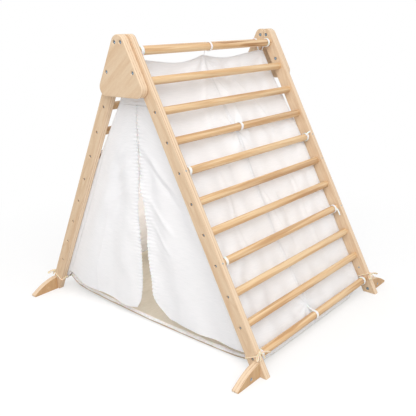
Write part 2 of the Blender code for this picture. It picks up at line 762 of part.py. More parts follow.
def make_flap(name, back, parts):
    """A door flap that hangs from a line just inside the slope, its origin on that hinge line."""
    hinge_offset = PANEL_OFFSET + FLAP_HINGE_INSET
    top = TOP_RUNG_HEIGHT - DOOR_TOP_DROP - FLAP_SEAM_GAP
    pivot_y = back * half_width(top, hinge_offset)

    def low(u):
        rise = FLAP_CORNER_RISE if back > 0 else FLAP_CORNER_RISE * FRONT_CORNER_SHARE
        return FLAP_HEM_HEIGHT + rise * smooth(1 - u / FLAP_CORNER_SHARE)

    def high(u):
        return top - 2 * FLAP_EDGE * (1 - u) ** 2

    def edges(height):
        return back * (half_width(height, hinge_offset) + FLAP_EDGE / SIN), slit_edge(height, back)

    across = end_shape(-1, low, high, edges, END_FOLD)

    def shape(u, v):
        x, y, height = across(u, v)
        return x + END_X, y - pivot_y, height - top

    piece = place(name, cloth_mesh(name, 7, 11, shape), parts, None, (-END_X, pivot_y, top))
    paint(thicken(piece, FABRIC), "white_cotton", CLOTH)


def make_floor(parts):
    """The floor sheet: flat on the ground, with lifted corners and a loose edge drawn in at the door."""
    offset = PANEL_OFFSET + FABRIC / 2

    def shape(u, v):
        across = 2 * v - 1
        left = SHEET_INSET + SHEET_DRAW * across ** 4 - END_X
        x = left + (PANEL_HALF - left) * u
        at_end = smooth((np.abs(x) / PANEL_HALF - FLOOR_END_SHARE) / (1 - FLOOR_END_SHARE))
        at_side = smooth((np.abs(across) - FLOOR_SIDE_SHARE) / (1 - FLOOR_SIDE_SHARE))
        height = FLOOR_GAP + FABRIC / 2 + CORNER_LIFT * at_side * at_end
        wide = half_width(height + FABRIC / 2, offset) - SEAM_GAP
        return x, across * wide, height

    piece = place("floor_sheet", cloth_mesh("floor_sheet", 10, 10, shape), parts)
    paint(thicken(piece, FABRIC), "white_cotton", CLOTH)


def cord_loop():
    """The closed loop of a cord round an upright, in a plane square to the slope."""
    radius = CORD_RADIUS + CORD_SLACK + EDGE_EASE
    x = UPRIGHT_THICKNESS / 2 - EDGE_EASE
    y = UPRIGHT_WIDTH / 2 - EDGE_EASE
    points = []
    for quarter, centre in enumerate(((x, y), (-x, y), (-x, -y), (x, -y))):
        start = quarter * math.pi / 2
        points += [(*point, 0) for point in arc(centre, radius, start, start + math.pi / 2, 2)]
    return points


def bow_loop(lean):
    """One ear of a bow, from the knot out and back, hanging down a little."""
    points = []
    for i in range(BOW_STEPS):
        t = i / BOW_STEPS
        out = math.sin(math.pi * t)
        spread = BOW_WIDTH / 2 * out * (1 + BOW_TAPER_SHARE * math.cos(math.pi * t))
        points.append((lean * BOW_LENGTH * out, -spread, -BOW_DROOP * out ** 2))
    return points


def tail(lean):
    """A free end of a cord, from the knot down."""
    return [(0, 0, 0), (lean * TAIL_LENGTH / 3, -CORD_RADIUS, -TAIL_LENGTH / 3),
            (lean * TAIL_LENGTH / 2, -CORD_RADIUS * 2, -TAIL_LENGTH)]


def make_cord(name, side, ladder, parts, cutters):
    """A cord tied round an upright with a bow on its outer edge."""
    bow = collection(f"{name}_bow", cutters, hidden=True)
    at = (side * UPRIGHT_MIDDLE, 0, CORD_RISE - LADDER_RUN)
    knot_at = (at[0], -UPRIGHT_WIDTH / 2 - KNOT_RADIUS - CORD_SLACK, at[2])
    cutter(f"{name}_knot", ball_mesh("knot", KNOT_RADIUS), bow, ladder, knot_at)
    for lean in (-1, 1):
        ear = tube_curve(f"{name}_ear", bow_loop(lean), CORD_RADIUS, closed=True)
        end = tube_curve(f"{name}_tail", tail(lean), CORD_RADIUS)
        for data in (ear, end):
            as_guide(as_mesh(place(data.name, data, bow, ladder, knot_at)))
    data = tube_curve(name, cord_loop(), CORD_RADIUS, closed=True)
    piece = as_mesh(place(name, data, parts, ladder, at))
    join(piece, bow, "UNION")
    paint(piece, "natural_cord", CORD)


def shade(parts):
    """Round pieces shade smooth, with their edges kept sharp."""
    for piece in parts.objects:
        if piece.type == "MESH":
            piece.data.shade_smooth()
            piece.data.set_sharp_from_angle(angle=SHARP_EDGE)


def main():
    clear_scene()
    parts = collection("climbing_triangle")
    cutters = collection("cutters", hidden=True)
    make_brackets(parts, cutters)
    for back, name in LADDERS:
        ladder = make_ladder(name, back, parts, cutters)
        make_panel(f"{name}_panel", ladder, parts)
        for side, hand in HANDS:
            local = -side * back
            x = local * (PANEL_HALF - TAPE_INSET - TAPE_WIDTH / 2)
            make_foot(f"{name}_{hand}_foot", side, back, parts, cutters)
            make_tape(f"{name}_{hand}_tie_tape", x, SIDE_TIE_RUNGS, ladder, parts, cutters)
            make_cord(f"{name}_{hand}_cord", local, ladder, parts, cutters)
        if name == "front":
            tape = f"{name}_middle_tie_tape"
            make_tape(tape, MIDDLE_TIE_X, MIDDLE_TIE_RUNGS, ladder, parts, cutters, ridge=True)
        make_flap(f"{name}_door_flap", back, parts)
    make_end(parts)
    make_yoke(parts)
    make_floor(parts)
    apply_joins()
    shade(parts)


main()
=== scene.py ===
import math
from functools import partial

import bmesh
import bpy
import numpy as np
from mathutils import Matrix, Vector
from mathutils.geometry import tessellate_polygon


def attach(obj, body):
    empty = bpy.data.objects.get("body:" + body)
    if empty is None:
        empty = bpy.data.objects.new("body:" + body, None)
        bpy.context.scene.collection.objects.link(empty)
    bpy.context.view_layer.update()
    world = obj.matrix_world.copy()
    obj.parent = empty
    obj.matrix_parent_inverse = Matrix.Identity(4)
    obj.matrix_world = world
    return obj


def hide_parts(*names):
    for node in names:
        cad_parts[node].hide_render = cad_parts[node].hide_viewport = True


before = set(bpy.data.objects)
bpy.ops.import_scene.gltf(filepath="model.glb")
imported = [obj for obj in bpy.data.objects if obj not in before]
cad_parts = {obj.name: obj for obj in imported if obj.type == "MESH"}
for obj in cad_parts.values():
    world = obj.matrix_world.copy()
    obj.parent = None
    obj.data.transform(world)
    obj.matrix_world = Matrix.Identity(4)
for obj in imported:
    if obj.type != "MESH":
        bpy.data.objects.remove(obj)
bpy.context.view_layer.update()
print("frame loaded:", len(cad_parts), "nodes")

# The ladders' own sizes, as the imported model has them
ladder = {
    "pitch": 0.092, "angle": math.radians(62.7), "setback": 0.0262, "topRung": 0.864033,
    "innerHalf": 0.325, "middleHalf": 0.3355, "outerHalf": 0.346, "halfWidth": 0.021, "gap": 0.0003,
}
slope = (math.cos(ladder["angle"]), math.sin(ladder["angle"]))
sides = {"front": -1, "back": 1}
hands = {"left": -1, "right": 1}
fourCorners = [(name, side, hand, way) for name, side in sides.items() for hand, way in hands.items()]
rungCount = 11


def mm(*points):
    # Points listed in millimetres, as metres
    return np.array(points) / 1000


def addObject(name, data):
    # A new object, put into the scene
    made = bpy.data.objects.new(name, data)
    bpy.context.scene.collection.objects.link(made)
    return made


# Camera. The focal length is a share of the picture's width

view = {"place": (-1.486, -1.291, 0.935), "yaw": 48.987, "pitch": 17.535, "roll": -1.359,
        "focal": 584.71 / 416}


def makeCamera():
    # Looks along yaw (clockwise from +Y) and down by pitch, then rolls about its own line of sight
    yaw, pitch, roll = (math.radians(view[k]) for k in ("yaw", "pitch", "roll"))
    data = bpy.data.cameras.new("camera")
    data.sensor_width = 36
    data.lens = view["focal"] * data.sensor_width
    camera = addObject("camera", data)
    turn = Matrix.Rotation(-yaw, 4, "Z") @ Matrix.Rotation(math.pi / 2 - pitch, 4, "X")
    turn = turn @ Matrix.Rotation(roll, 4, "Z")
    camera.matrix_world = Matrix.Translation(view["place"]) @ turn
    bpy.context.scene.camera = camera


makeCamera()
print("camera placed")


# Materials. Pairs of colours go from dark to light

def linear(colour):
    # An sRGB hex value as linear light
    parts = [int(colour[i:i + 2], 16) / 255 for i in (1, 3, 5)]
    return (*[c / 12.92 if c <= 0.04045 else ((c + 0.055) / 1.055) ** 2.4 for c in parts], 1.0)


def addNode(tree, kind, inputs=None, stops=(), out=0, **settings):
    # One node, its settings, and a value or a link for its sockets; it gives one output, or all of them
    node = tree.nodes.new("ShaderNode" + kind)
    for name, value in settings.items():
        setattr(node, name, value)
    for socket, given in (inputs or {}).items():
        if isinstance(given, bpy.types.NodeSocket):
            tree.links.new(given, node.inputs[socket])
        else:
            node.inputs[socket].default_value = given
    for i, (position, colour) in enumerate(stops):
        stop = node.color_ramp.elements[i]
        stop.position = position
        stop.color = linear(colour)
    return node.outputs if out is None else node.outputs[out]


def newMaterial(name, values):
    # A shader with the given values, and the function that adds nodes beside it
    made = bpy.data.materials.new(name)
    made.use_nodes = True
    for socket, value in values.items():
        made.node_tree.nodes["Principled BSDF"].inputs[socket].default_value = value
    return made, partial(addNode, made.node_tree)


def finishWith(made, links, height=None, strength=0.2, depth=0.0002):
    # Links what is given, and the height as a bump, to the shader
    tree = made.node_tree
    if height:
        links["Normal"] = addNode(tree, "Bump", {"Strength": strength, "Distance": depth, "Height": height})
    for socket, source in links.items():
        tree.links.new(source, tree.nodes["Principled BSDF"].inputs[socket])
    return made


def grain(add, place, scale, **values):
    # A noise on coordinates scaled along each axis, so its spots are drawn out where the scale is small
    moved = add("Mapping", {"Scale": scale, 0: place})
    return add("TexNoise", {"Scale": 1.0, **values, "Vector": moved})


plywood = {
    "face": ("#d7b794", "#e3caab"),
    "foot": ("#c4996c", "#d3b085"),
    "line": "#c6a078",
    "rings": 70.0,
    "plies": ("#e9cfb0", "#b58760"),
    "ply": 0.0042,  # real plies are about 1.5 mm; drawn thicker, so that they show
    "wobble": 0.0004,
    "roughness": 0.5,
}


def birchPlywood(name, axis, near, tilt, mirror=True, lineSize=0.24, tone="face"):
    # Birch plywood, machine cut, sanded and oiled: pale satin faces with faint arched growth lines, and
    # edges with soft stripes, as the grain of each ply runs across the next
    made, add = newMaterial(name, {"Roughness": plywood["roughness"], "IOR": 1.5})
    space = add("TexCoord", out=None)
    split = add("SeparateXYZ", {0: space["Object"]}, out=None)
    normal = add("SeparateXYZ", {0: space["Normal"]}, out=None)
    facing = add("Math", {0: normal[axis]}, operation="ABSOLUTE")
    onFace = add("MapRange", {1: 0.55, 2: 0.9, 0: facing}, interpolation_type="SMOOTHSTEP")
    fold = add("Math", {0: split["Y"]}, operation="ABSOLUTE") if mirror else split["Y"]
    mirrored = add("CombineXYZ", {0: split["X"], 1: fold, 2: split["Z"]})
    turned = add("Mapping", {"Rotation": (tilt, 0, 0), 0: mirrored})
    streaks = grain(add, turned, (60, 60, 5), Detail=5.0, Roughness=0.6)
    swell = grain(add, turned, (14, 14, 2.2), Detail=1.0)
    turns = add("Math", {1: plywood["rings"], 0: swell}, operation="MULTIPLY")
    wave = add("Math", {0: turns}, operation="SINE")
    lines = add("MapRange", {1: 0.55, 4: lineSize, 0: wave}, interpolation_type="SMOOTHSTEP")
    fine = grain(add, turned, (700, 700, 90))
    mixed = add("Mix", {0: 0.3, 2: streaks, 3: fine})
    ground = add("ValToRGB", {0: mixed}, stops=zip((0.36, 0.6), plywood[tone]))
    face = add("Mix", {7: linear(plywood["line"]), 0: lines, 6: ground}, out=2, data_type="RGBA")
    across = add("Math", {0: split[axis]}, operation="ABSOLUTE")
    depth = add("Math", {1: near, 0: across}, operation="SUBTRACT")
    wobble = add("TexNoise", {"Scale": 7.0, "Vector": mirrored})
    shift = add("MapRange", {1: 0.3, 2: 0.7, 3: -plywood["wobble"], 4: plywood["wobble"], 0: wobble})
    moved = add("Math", {0: depth, 1: shift}, operation="ADD")
    layer = add("Math", {1: math.pi / plywood["ply"], 0: moved}, operation="MULTIPLY")
    ripple = add("Math", {0: layer}, operation="SINE")
    strong = add("MapRange", {1: 0.42, 2: 0.62, 3: 0.2, 4: 0.75, 0: streaks})
    stripe = add("MapRange", {1: 0.55, 2: 0.95, 0: ripple}, interpolation_type="SMOOTHSTEP")
    dark = add("Math", {0: stripe, 1: strong}, operation="MULTIPLY")
    light, deep = (linear(colour) for colour in plywood["plies"])
    edge = add("Mix", {6: light, 7: deep, 0: dark}, out=2, data_type="RGBA")
    colour = add("Mix", {0: onFace, 6: edge, 7: face}, out=2, data_type="RGBA")
    return finishWith(made, {"Base Color": colour}, mixed, 0.25)


beech = {"body": ("#d6ab7a", "#e9cba1"), "dark": "#ad7a49", "boldFrom": 0.83, "roughness": 0.4}


def beechDowel():
    # Beech, turned to dowels and oiled: long bold streaks with fine ones between them,
    # boldest on the top rungs, and a satin shine
    made, add = newMaterial("turnedBeech", {"Roughness": beech["roughness"], "IOR": 1.5})
    place = add("TexCoord", out="Object")
    streaks = grain(add, place, (3.5, 130, 130), Detail=5.0, Roughness=0.6)
    bands = grain(add, place, (2.6, 55, 55), Distortion=0.5)
    ground = add("ValToRGB", {0: streaks}, stops=zip((0.38, 0.6), beech["body"]))
    bold = add("MapRange", {1: 0.5, 2: 0.64, 4: 0.7, 0: bands}, interpolation_type="SMOOTHSTEP")
    height = add("SeparateXYZ", {0: place}, out="Z")
    wild = add("MapRange", {1: beech["boldFrom"], 2: beech["boldFrom"] + 0.01, 3: 0.75, 4: 1.6, 0: height})
    bolder = add("Math", {0: bold, 1: wild}, operation="MULTIPLY")
    colour = add("Mix", {7: linear(beech["dark"]), 0: bolder, 6: ground}, out=2, data_type="RGBA")
    return finishWith(made, {"Base Color": colour}, streaks)


def zincSteel():
    # Steel, turned and zinc plated: a cool blue-grey shine, a little cloudy
    made, add = newMaterial("zincPlatedSteel", {"Metallic": 1.0})
    cloud = add("TexNoise", {"Scale": 400.0, "Detail": 3.0, "Vector": add("TexCoord", out="Object")})
    dull = add("MapRange", {3: 0.22, 4: 0.42, 0: cloud})
    colour = add("ValToRGB", {0: cloud}, stops=zip((0.35, 0.65), ("#7f93a5", "#b2c3d2")))
    return finishWith(made, {"Base Color": colour, "Roughness": dull})


cotton = {
    "white": ("#eff1f5", "#f5f6fa"),
    "beige": ("#d2c9b4", "#ded6c4"),
    "thread": 0.0015,  # real threads lie about 0.45 mm apart; drawn coarser, so that the weave shows
    "roughness": 0.88,
    "through": 0.35,
}


def cottonCloth(name, colours, through):
    # Cotton, plain woven and washed: matt, with a fine crossed grain, thicker threads here and there, and
    # a glow where light comes through
    made, add = newMaterial(name, {
        "Roughness": cotton["roughness"], "IOR": 1.5, "Subsurface Weight": through, "Subsurface Scale": 0.01,
        "Subsurface Radius": (1, 1, 1), "Sheen Weight": 0.1, "Specular IOR Level": 0.2})
    flat = add("UVMap", uv_map="flat")
    split = add("SeparateXYZ", {0: flat}, out=None)
    waves = []
    for axis in ("X", "Y"):
        phase = add("Math", {1: math.pi / cotton["thread"], 0: split[axis]}, operation="MULTIPLY")
        waves.append(add("Math", {0: phase}, operation="SINE"))
    weave = add("Math", {0: waves[0], 1: waves[1]}, operation="MULTIPLY")
    slub = grain(add, flat, (30, 500, 1), Detail=3.0)
    height = add("Math", {0: weave, 1: slub}, operation="ADD")
    colour = add("ValToRGB", {0: slub}, stops=zip((0.35, 0.65), colours))
    return finishWith(made, {"Base Color": colour}, height)


def cottonYarn(name, colours, pitch):
    # Cotton yarn, spun and twisted or sewn in close loops: matt, with short soft ribs
    made, add = newMaterial(name, {
        "Roughness": 0.9, "IOR": 1.5, "Subsurface Weight": 0.2, "Subsurface Scale": 0.003,
        "Specular IOR Level": 0.2})
    ribs = add("TexNoise", {"Scale": 1 / pitch, "Detail": 3.0, "Vector": add("TexCoord", out="Object")})
    colour = add("ValToRGB", {0: ribs}, stops=zip((0.35, 0.65), colours))
    return finishWith(made, {"Base Color": colour}, ribs, 0.5, 0.0003)


# Each plywood's plies are counted from a plane this far out along X or Y
uprightWood = birchPlywood("birchPlywoodUpright", "X", ladder["innerHalf"], ladder["angle"] - math.pi / 2)
bracketWood = birchPlywood("birchPlywoodBracket", "X", ladder["outerHalf"] + ladder["gap"], -0.9, False, 0.08)
footWood = birchPlywood("birchPlywoodFoot", "Y", 0.4542, 0, tone="foot")
rungWood = beechDowel()
steel = zincSteel()
cloth = cottonCloth("wovenCotton", cotton["white"], cotton["through"])
bandCloth = cottonCloth("sewnDoubleCotton", cotton["white"], 0.1)
# The floor sheet's cloth is beige, darker and warmer than the cover's white
floorCloth = cottonCloth("beigeCotton", cotton["beige"], cotton["through"])
hemYarn = cottonYarn("overlockedCotton", ("#ececec", "#fbfbfb"), 0.0015)
tapeYarn = cottonYarn("cottonTape", ("#e9e9ea", "#fafafa"), 0.002)
cordYarn = cottonYarn("twistedCottonCord", ("#e0caa6", "#f6ead6"), 0.001)
rimYarn = cottonYarn("paddedCotton", ("#e3e1de", "#efeeed"), 0.006)
# A brownish yarn for the thin line under the floor rim: painted contact shadow
contactShadowYarn = cottonYarn("paintedContactShadow", ("#b59f84", "#c8b49a"), 0.002)
print("materials made")


# Meshes

def meshPiece(name, points, faces, finish, weld=0.0, sharp=0.0):
    # A smooth skin over the given points and faces; a weld closes its seams and poles and turns it outwards
    mesh = bpy.data.meshes.new(name)
    faces = faces if isinstance(faces, list) else faces.tolist()
    mesh.from_pydata(np.asarray(points).reshape(-1, 3).tolist(), [], faces)
    if weld:
        shape = bmesh.new()
        shape.from_mesh(mesh)
        bmesh.ops.remove_doubles(shape, verts=shape.verts, dist=weld)
        bmesh.ops.recalc_face_normals(shape, faces=shape.faces)
        shape.to_mesh(mesh)
        shape.free()
    mesh.shade_smooth()
    if sharp:
        mesh.set_sharp_from_angle(angle=math.radians(sharp))
    mesh.materials.append(finish)
    return addObject(name, mesh)


def gridFaces(rows, columns, around=False, closed=False, first=0):
    # Quads between neighbouring rows and columns; around joins the last column to the first, closed the rows
    index = first + np.arange(rows * columns).reshape(rows, columns)
    index = np.pad(index, ((0, int(closed)), (0, int(around))), "wrap")
    return np.stack([index[:-1, :-1], index[:-1, 1:], index[1:, 1:], index[1:, :-1]], axis=-1).reshape(-1, 4)


def tubes(name, grids, finish, closed=False, sharp=0.0):
    # Several skins that close round themselves, as a single piece; each is rows by columns by three
    faces, first = [], 0
    for grid in grids:
        faces.append(gridFaces(*grid.shape[:2], True, closed, first))
        first += grid.shape[0] * grid.shape[1]
    points = np.concatenate([grid.reshape(-1, 3) for grid in grids])
    return meshPiece(name, points, np.concatenate(faces), finish, 1e-6, sharp)


def ride(piece, slot, *stands, body="frame"):
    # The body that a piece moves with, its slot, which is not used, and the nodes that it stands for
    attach(piece, body)
    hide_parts(*stands)
    return piece


def onLadder(x, inward, down, side):
    # From a ladder's own lines (along a rung, into the tent, down the slope) to the shared frame
    reach = ladder["setback"] - inward * slope[1] + down * slope[0]
    height = ladder["topRung"] - inward * slope[0] - down * slope[1]
    return np.stack(np.broadcast_arrays(x, side * reach, height), axis=-1)


def smooth(t):
    # A soft step: 3 t^2 - 2 t^3 between 0 and 1
    t = np.clip(t, 0, 1)
    return t * t * (3 - 2 * t)


def through(t, knots):
    # A smooth line through knots (place, value): cubics, whose slope at a knot is the mean of its sides'
    at, value = np.array(knots, float).T
    rise = np.diff(value) / np.diff(at)
    lean = np.concatenate((rise[:1], (rise[1:] + rise[:-1]) / 2, rise[-1:]))
    t = np.clip(t, at[0], at[-1])
    i = np.clip(np.searchsorted(at, t, side="right") - 1, 0, len(at) - 2)
    width = at[i + 1] - at[i]
    s = (t - at[i]) / width
    start = (value[i] * (1 + 2 * s) + width * lean[i] * s) * (1 - s) ** 2
    return start + (value[i + 1] * (3 - 2 * s) + width * lean[i + 1] * (s - 1)) * s ** 2


def softNoise(a, b, seed):
    # Values at the corners of a square lattice, blended smoothly between them; a and b are counted in cells
    lattice = np.random.default_rng(seed).uniform(-1, 1, (64, 64))
    i, j = np.floor(a).astype(int), np.floor(b).astype(int)
    s, t = smooth(a - i), smooth(b - j)
    near, far = (lattice[i % 64, k % 64] * (1 - s) + lattice[(i + 1) % 64, k % 64] * s for k in (j, j + 1))
    return near * (1 - t) + far * t


def unit(vectors):
    # Vectors divided by their own lengths
    return vectors / np.linalg.norm(vectors, axis=-1, keepdims=True)


def lengths(points, axis=0):
    # How far along its line each point is
    steps = np.diff(points, axis=axis, prepend=points.take([0], axis))
    return np.cumsum(np.linalg.norm(steps, axis=-1), axis=axis)


def evenSteps(path, step, blur=0):
    # The same path in even steps of its own length; blur rounds its corners by a running mean
    gone = lengths(path)
    at = np.linspace(0, gone[-1], int(round(gone[-1] / step)) + 1)
    even = np.stack([np.interp(at, gone, path[:, k]) for k in range(3)], axis=1)
    padded = np.pad(even, ((blur, blur), (0, 0)), "edge")
    return sum(padded[k:k + len(even)] for k in range(2 * blur + 1)) / (2 * blur + 1), at


def alongPath(path, normal, profile, closed=False):
    # A profile (across, out) carried along a path: across is the way ahead turned square to the normal
    ahead = np.roll(path, -1, axis=0) - np.roll(path, 1, axis=0) if closed else np.gradient(path, axis=0)
    across = unit(np.cross(ahead, normal))
    out = unit(np.cross(across, ahead))
    return path[:, None] + across[:, None] * profile[..., :1] + out[:, None] * profile[..., 1:]


def roundAngles(count):
    # Even angles round a circle, the first one not repeated
    return np.linspace(0, 2 * np.pi, count, endpoint=False)


def oval(angle, wide, high):
    # Points (wide cos, high sin)
    return np.stack((wide * np.cos(angle), high * np.sin(angle)), axis=-1)


# Wooden plates

def arc(centre, radius, start, end, steps):
    # Points on a circle in even steps from one angle to another: centre + radius (cos, sin)
    return centre + oval(np.linspace(start, end, steps + 1), radius, radius)


def bandRound(circles):
    # The outline of a band pulled tight round circles (centre, radius, steps), listed anticlockwise
    leaves = []
    for i, (centre, radius, _) in enumerate(circles):
        other, reach, _ = circles[(i + 1) % len(circles)]
        heading = math.atan2(other[1] - centre[1], other[0] - centre[0])
        leaves.append(heading - math.acos((radius - reach) / math.dist(centre, other)))
    runs = []
    for i, (centre, radius, steps) in enumerate(circles):
        start = leaves[i - 1]
        runs.append(arc(centre, radius, start, start + (leaves[i] - start) % math.tau, steps))
    return np.concatenate(runs)


def inset(loop, distance):
    # Each corner moved to the left of a closed loop, along the mitre of its two sides
    ahead = unit(np.roll(loop, -1, axis=0) - loop)
    left = np.stack((-ahead[:, 1], ahead[:, 0]), axis=1)
    before = np.roll(left, 1, axis=0)
    return loop + distance * (left + before) / (1 + np.sum(left * before, axis=1, keepdims=True))


flatEdge = 0.0004


def plate(name, outline, holes, thickness, eases, finish, placed):
    # A plate with round edges and holes. On each loop the rim runs back by ease (1 - sin t) at a depth of
    # ease (1 - cos t), past a narrow flat edge; flat faces lie between the loops. A hole is (centre, radius)
    loops = [outline] + [arc(centre, radius, 0, -2 * np.pi, 32)[:-1] for centre, radius in holes]
    points, faces, rims, first = [], [], [], 0
    t = np.linspace(0, np.pi / 2, 6)
    for loop, ease in zip(loops, eases):
        back = np.concatenate(([ease + flatEdge], ease * (1 - np.sin(t))))
        depth = np.concatenate(([0], ease * (1 - np.cos(t))))
        levels = [*zip(back, depth), *zip(back[::-1], thickness - depth[::-1])]
        rows = [np.column_stack((inset(loop, b), np.full(len(loop), d))) for b, d in levels]
        points.append(np.concatenate(rows))
        faces += gridFaces(len(rows), len(loop), True, first=first).tolist()
        rims.append((first, first + (len(rows) - 1) * len(loop), rows[0][:, :2]))
        first += len(points[-1])
    corners = tessellate_polygon([[Vector((*p, 0)) for p in rim[2].tolist()] for rim in rims])
    for end in (0, 1):
        index = np.concatenate([rim[end] + np.arange(len(rim[2])) for rim in rims])
        faces += index[np.array(corners)].tolist()
    return meshPiece(name, placed(*np.concatenate(points).T), faces, finish, 1e-7, 50)


uprightShape = {"thick": 0.021, "ease": 0.0022, "boltEase": 0.0012, "boltHole": 0.0046, "wideHole": 0.0055}
bracketShape = {"near": 0.3463, "thick": 0.025, "topRadius": 0.027, "topDrop": 0.006, "cornerRadius": 0.025,
                "cornerOut": 0.0098, "cornerDrop": 0.0445, "upper": 0.0299, "lower": 0.0633, "ease": 0.0022,
                "holeEase": 0.0014}
footShape = {"length": 0.1, "height": 0.046, "thick": 0.021, "tip": 0.0045, "land": 0.006, "crown": 0.006,
             "boltHeight": 0.0145, "barrelReach": 0.0395, "barrelHole": 0.0053, "ease": 0.0016,
             "holeEase": 0.0008}
boltLevels = {level: (ladder["setback"] + down * slope[0], ladder["topRung"] - down * slope[1])
              for level, down in (("upper", -bracketShape["upper"]), ("lower", bracketShape["lower"]))}
footDown = (ladder["topRung"] - footShape["boltHeight"]) / slope[1]
footY = ladder["setback"] + footDown * slope[0]


def makeUprights():
    # Level at the floor, round over the top bolt, and flat where the two ladders meet
    half, meet, wide = ladder["halfWidth"], ladder["gap"] / 2, uprightShape["wideHole"]
    spread = math.acos((boltLevels["upper"][0] - meet) / half)
    floor = [(y, (y * slope[0] - ladder["topRung"]) / slope[1]) for y in (-half, half)]
    flatEnd = (half, (ladder["setback"] - meet - half * slope[1]) / slope[0])
    top = arc((0, bracketShape["upper"]), half, math.pi / 2 - ladder["angle"] + spread, math.pi, 24)
    outline = np.concatenate(([*floor, flatEnd], top))
    holes = [((0, -ladder["pitch"] * i), uprightShape["boltHole"]) for i in range(rungCount)]
    holes += [((0, up), wide) for up in (bracketShape["upper"], -bracketShape["lower"], -footDown)]
    eases = [uprightShape["ease"]] + [uprightShape["boltEase"]] * len(holes)
    for name, side, hand, way in fourCorners:
        def placed(inward, up, depth):
            # Up the slope, and out from the upright's inner face
            return onLadder(way * (ladder["innerHalf"] + depth), inward, -up, side)
        piece = plate(f"{name}{hand.title()}Upright", outline, holes, uprightShape["thick"], eases,
                      uprightWood, placed)
        ride(piece, "upright_plywood", f"{name}_{hand}_upright")


def makeBrackets():
    # A triangle with round corners, its top over the upper bolts
    shape = bracketShape
    out, low = boltLevels["lower"][0] + shape["cornerOut"], boltLevels["lower"][1] - shape["cornerDrop"]
    corners = [((way * out, low), shape["cornerRadius"], 20) for way in (-1, 1)]
    outline = bandRound([*corners, ((0, boltLevels["upper"][1] - shape["topDrop"]), shape["topRadius"], 24)])
    holes = [((way * y, z), uprightShape["wideHole"]) for y, z in boltLevels.values() for way in (-1, 1)]
    eases = [shape["ease"]] + [shape["holeEase"]] * len(holes)
    for hand, way in hands.items():
        def placed(y, z, depth):
            # Out from the bracket's near face
            return np.stack((way * (shape["near"] + depth), y, z), axis=-1)
        piece = plate(f"{hand}ApexBracket", outline, holes, shape["thick"], eases, bracketWood, placed)
        ride(piece, "cut_plywood", f"{hand}_apex_bracket")


def makeFeet():
    # A low outrigger: flat on the floor, crowned along the top, with a small round tip
    shape = footShape
    tip, reach = shape["tip"], shape["length"] - shape["tip"]
    t = np.linspace(0, 1, 25)
    rise = shape["height"] + (2 * tip - shape["height"]) * t + shape["crown"] * np.sin(np.pi * t)
    crown = np.stack((shape["land"] + (reach - shape["land"]) * t, rise), axis=1)
    end = arc((reach, tip), tip, np.pi / 2, -np.pi / 2, 10)[1:]
    outline = np.concatenate(([(0, 0), (0, shape["height"])], crown, end))[::-1]
    holes = [((shape["barrelReach"] - ladder["gap"], shape["boltHeight"]), shape["barrelHole"])]
    for name, side, hand, way in fourCorners:
        def placed(out, z, depth):
            # Out from the upright, and across the foot from one face to the other
            x = way * (ladder["outerHalf"] + ladder["gap"] + out)
            return np.stack((x, side * footY + depth - shape["thick"] / 2, z), axis=-1)
        eases = [shape["ease"], shape["holeEase"]]
        piece = plate(f"{name}{hand.title()}Foot", outline, holes, shape["thick"], eases, footWood, placed)
        ride(piece, "cut_plywood", f"{name}_{hand}_foot")


makeUprights()
makeBrackets()
makeFeet()
print("plates made")


# Rungs

rung = {"radius": 0.012, "end": 0.3387, "shoulder": 0.0118, "sides": 40, "inPocket": 0.3255,
        "outPocket": 0.3245}


def makeRungs():
    # A rung is a circle carried along X, a little narrower where it sits in the pockets of the uprights
    half = [(rung["outPocket"], rung["radius"]), (rung["inPocket"], rung["shoulder"]),
            (rung["end"], rung["shoulder"]), (rung["end"], 0)]
    stations = np.array([(-x, radius) for x, radius in half[::-1]] + half)
    section = oval(roundAngles(rung["sides"]), stations[:, 1:], stations[:, 1:])
    for name, side in sides.items():
        for number in range(1, rungCount + 1):
            centre = onLadder(0.0, 0.0, (number - 1) * ladder["pitch"], side)
            x = np.broadcast_to(stations[:, :1, None], (*section.shape[:2], 1))
            grid = np.concatenate((x, centre[1:] + section), axis=-1)
            piece = tubes(f"{name}Rung{number:02d}", [grid], rungWood, sharp=40)
            ride(piece, "rung_beech", f"{name}_rung_{number:02d}")


makeRungs()
print("rungs made")


# Bolts and screws. Each has a profile of (radius, height) in mm from the middle of its top, and the numbers
# of the rows that are hexagonal, whose radius is half the width over flats

bolt = {
    "head": (mm((0, -1.8), (1.9, -1.8), (1.9, -0.3), (2.4, 0), (3.4, 0), (3.9, -0.6), (3.9, -6), (0, -6)),
             (1, 2)),
    "wideHead": (mm((0, -2), (2.4, -2), (2.4, -0.4), (3, 0), (4.5, 0), (5.2, -0.7), (5.2, -6), (0, -6)),
                 (1, 2)),
    "nut": (mm((0, -1.2), (2.4, -1.2), (2.6, 0), (4, 0), (4.2, -2), (5.1, -2.2), (5.1, -4), (0, -4)), (3, 4)),
    "lockScrew": (mm((0, -0.8), (1.1, -0.8), (1.1, 0.1), (1.4, 0.3), (2.4, 0.3), (2.8, -0.1), (2.8, -3),
                     (0, -3)),
                     (1, 2)),
    "sleeve": (mm((0, 0.1), (1.7, 0.1), (1.8, 0.5), (2.8, 0.5), (3.1, 0.2), (3.1, -1), (0, -1)), ()),
    "barrel": (mm((0, -0.8), (1.2, -0.8), (1.6, 0), (4.4, 0), (5, -0.6), (5, -9.5), (0, -9.5)), ()),
    "plug": (mm((0, 0.1), (4.8, 0.1), (5.2, -0.3), (5.3, -3), (0, -3)), ()),
    "columns": 24, "recess": 0.0042, "wideRecess": 0.003, "proud": 0.0006, "sunk": 0.0008,
    "locked": ((5, -1), (5, 1), (8, -1), (8, 1)),
    "frontLock": (6, 1),
}


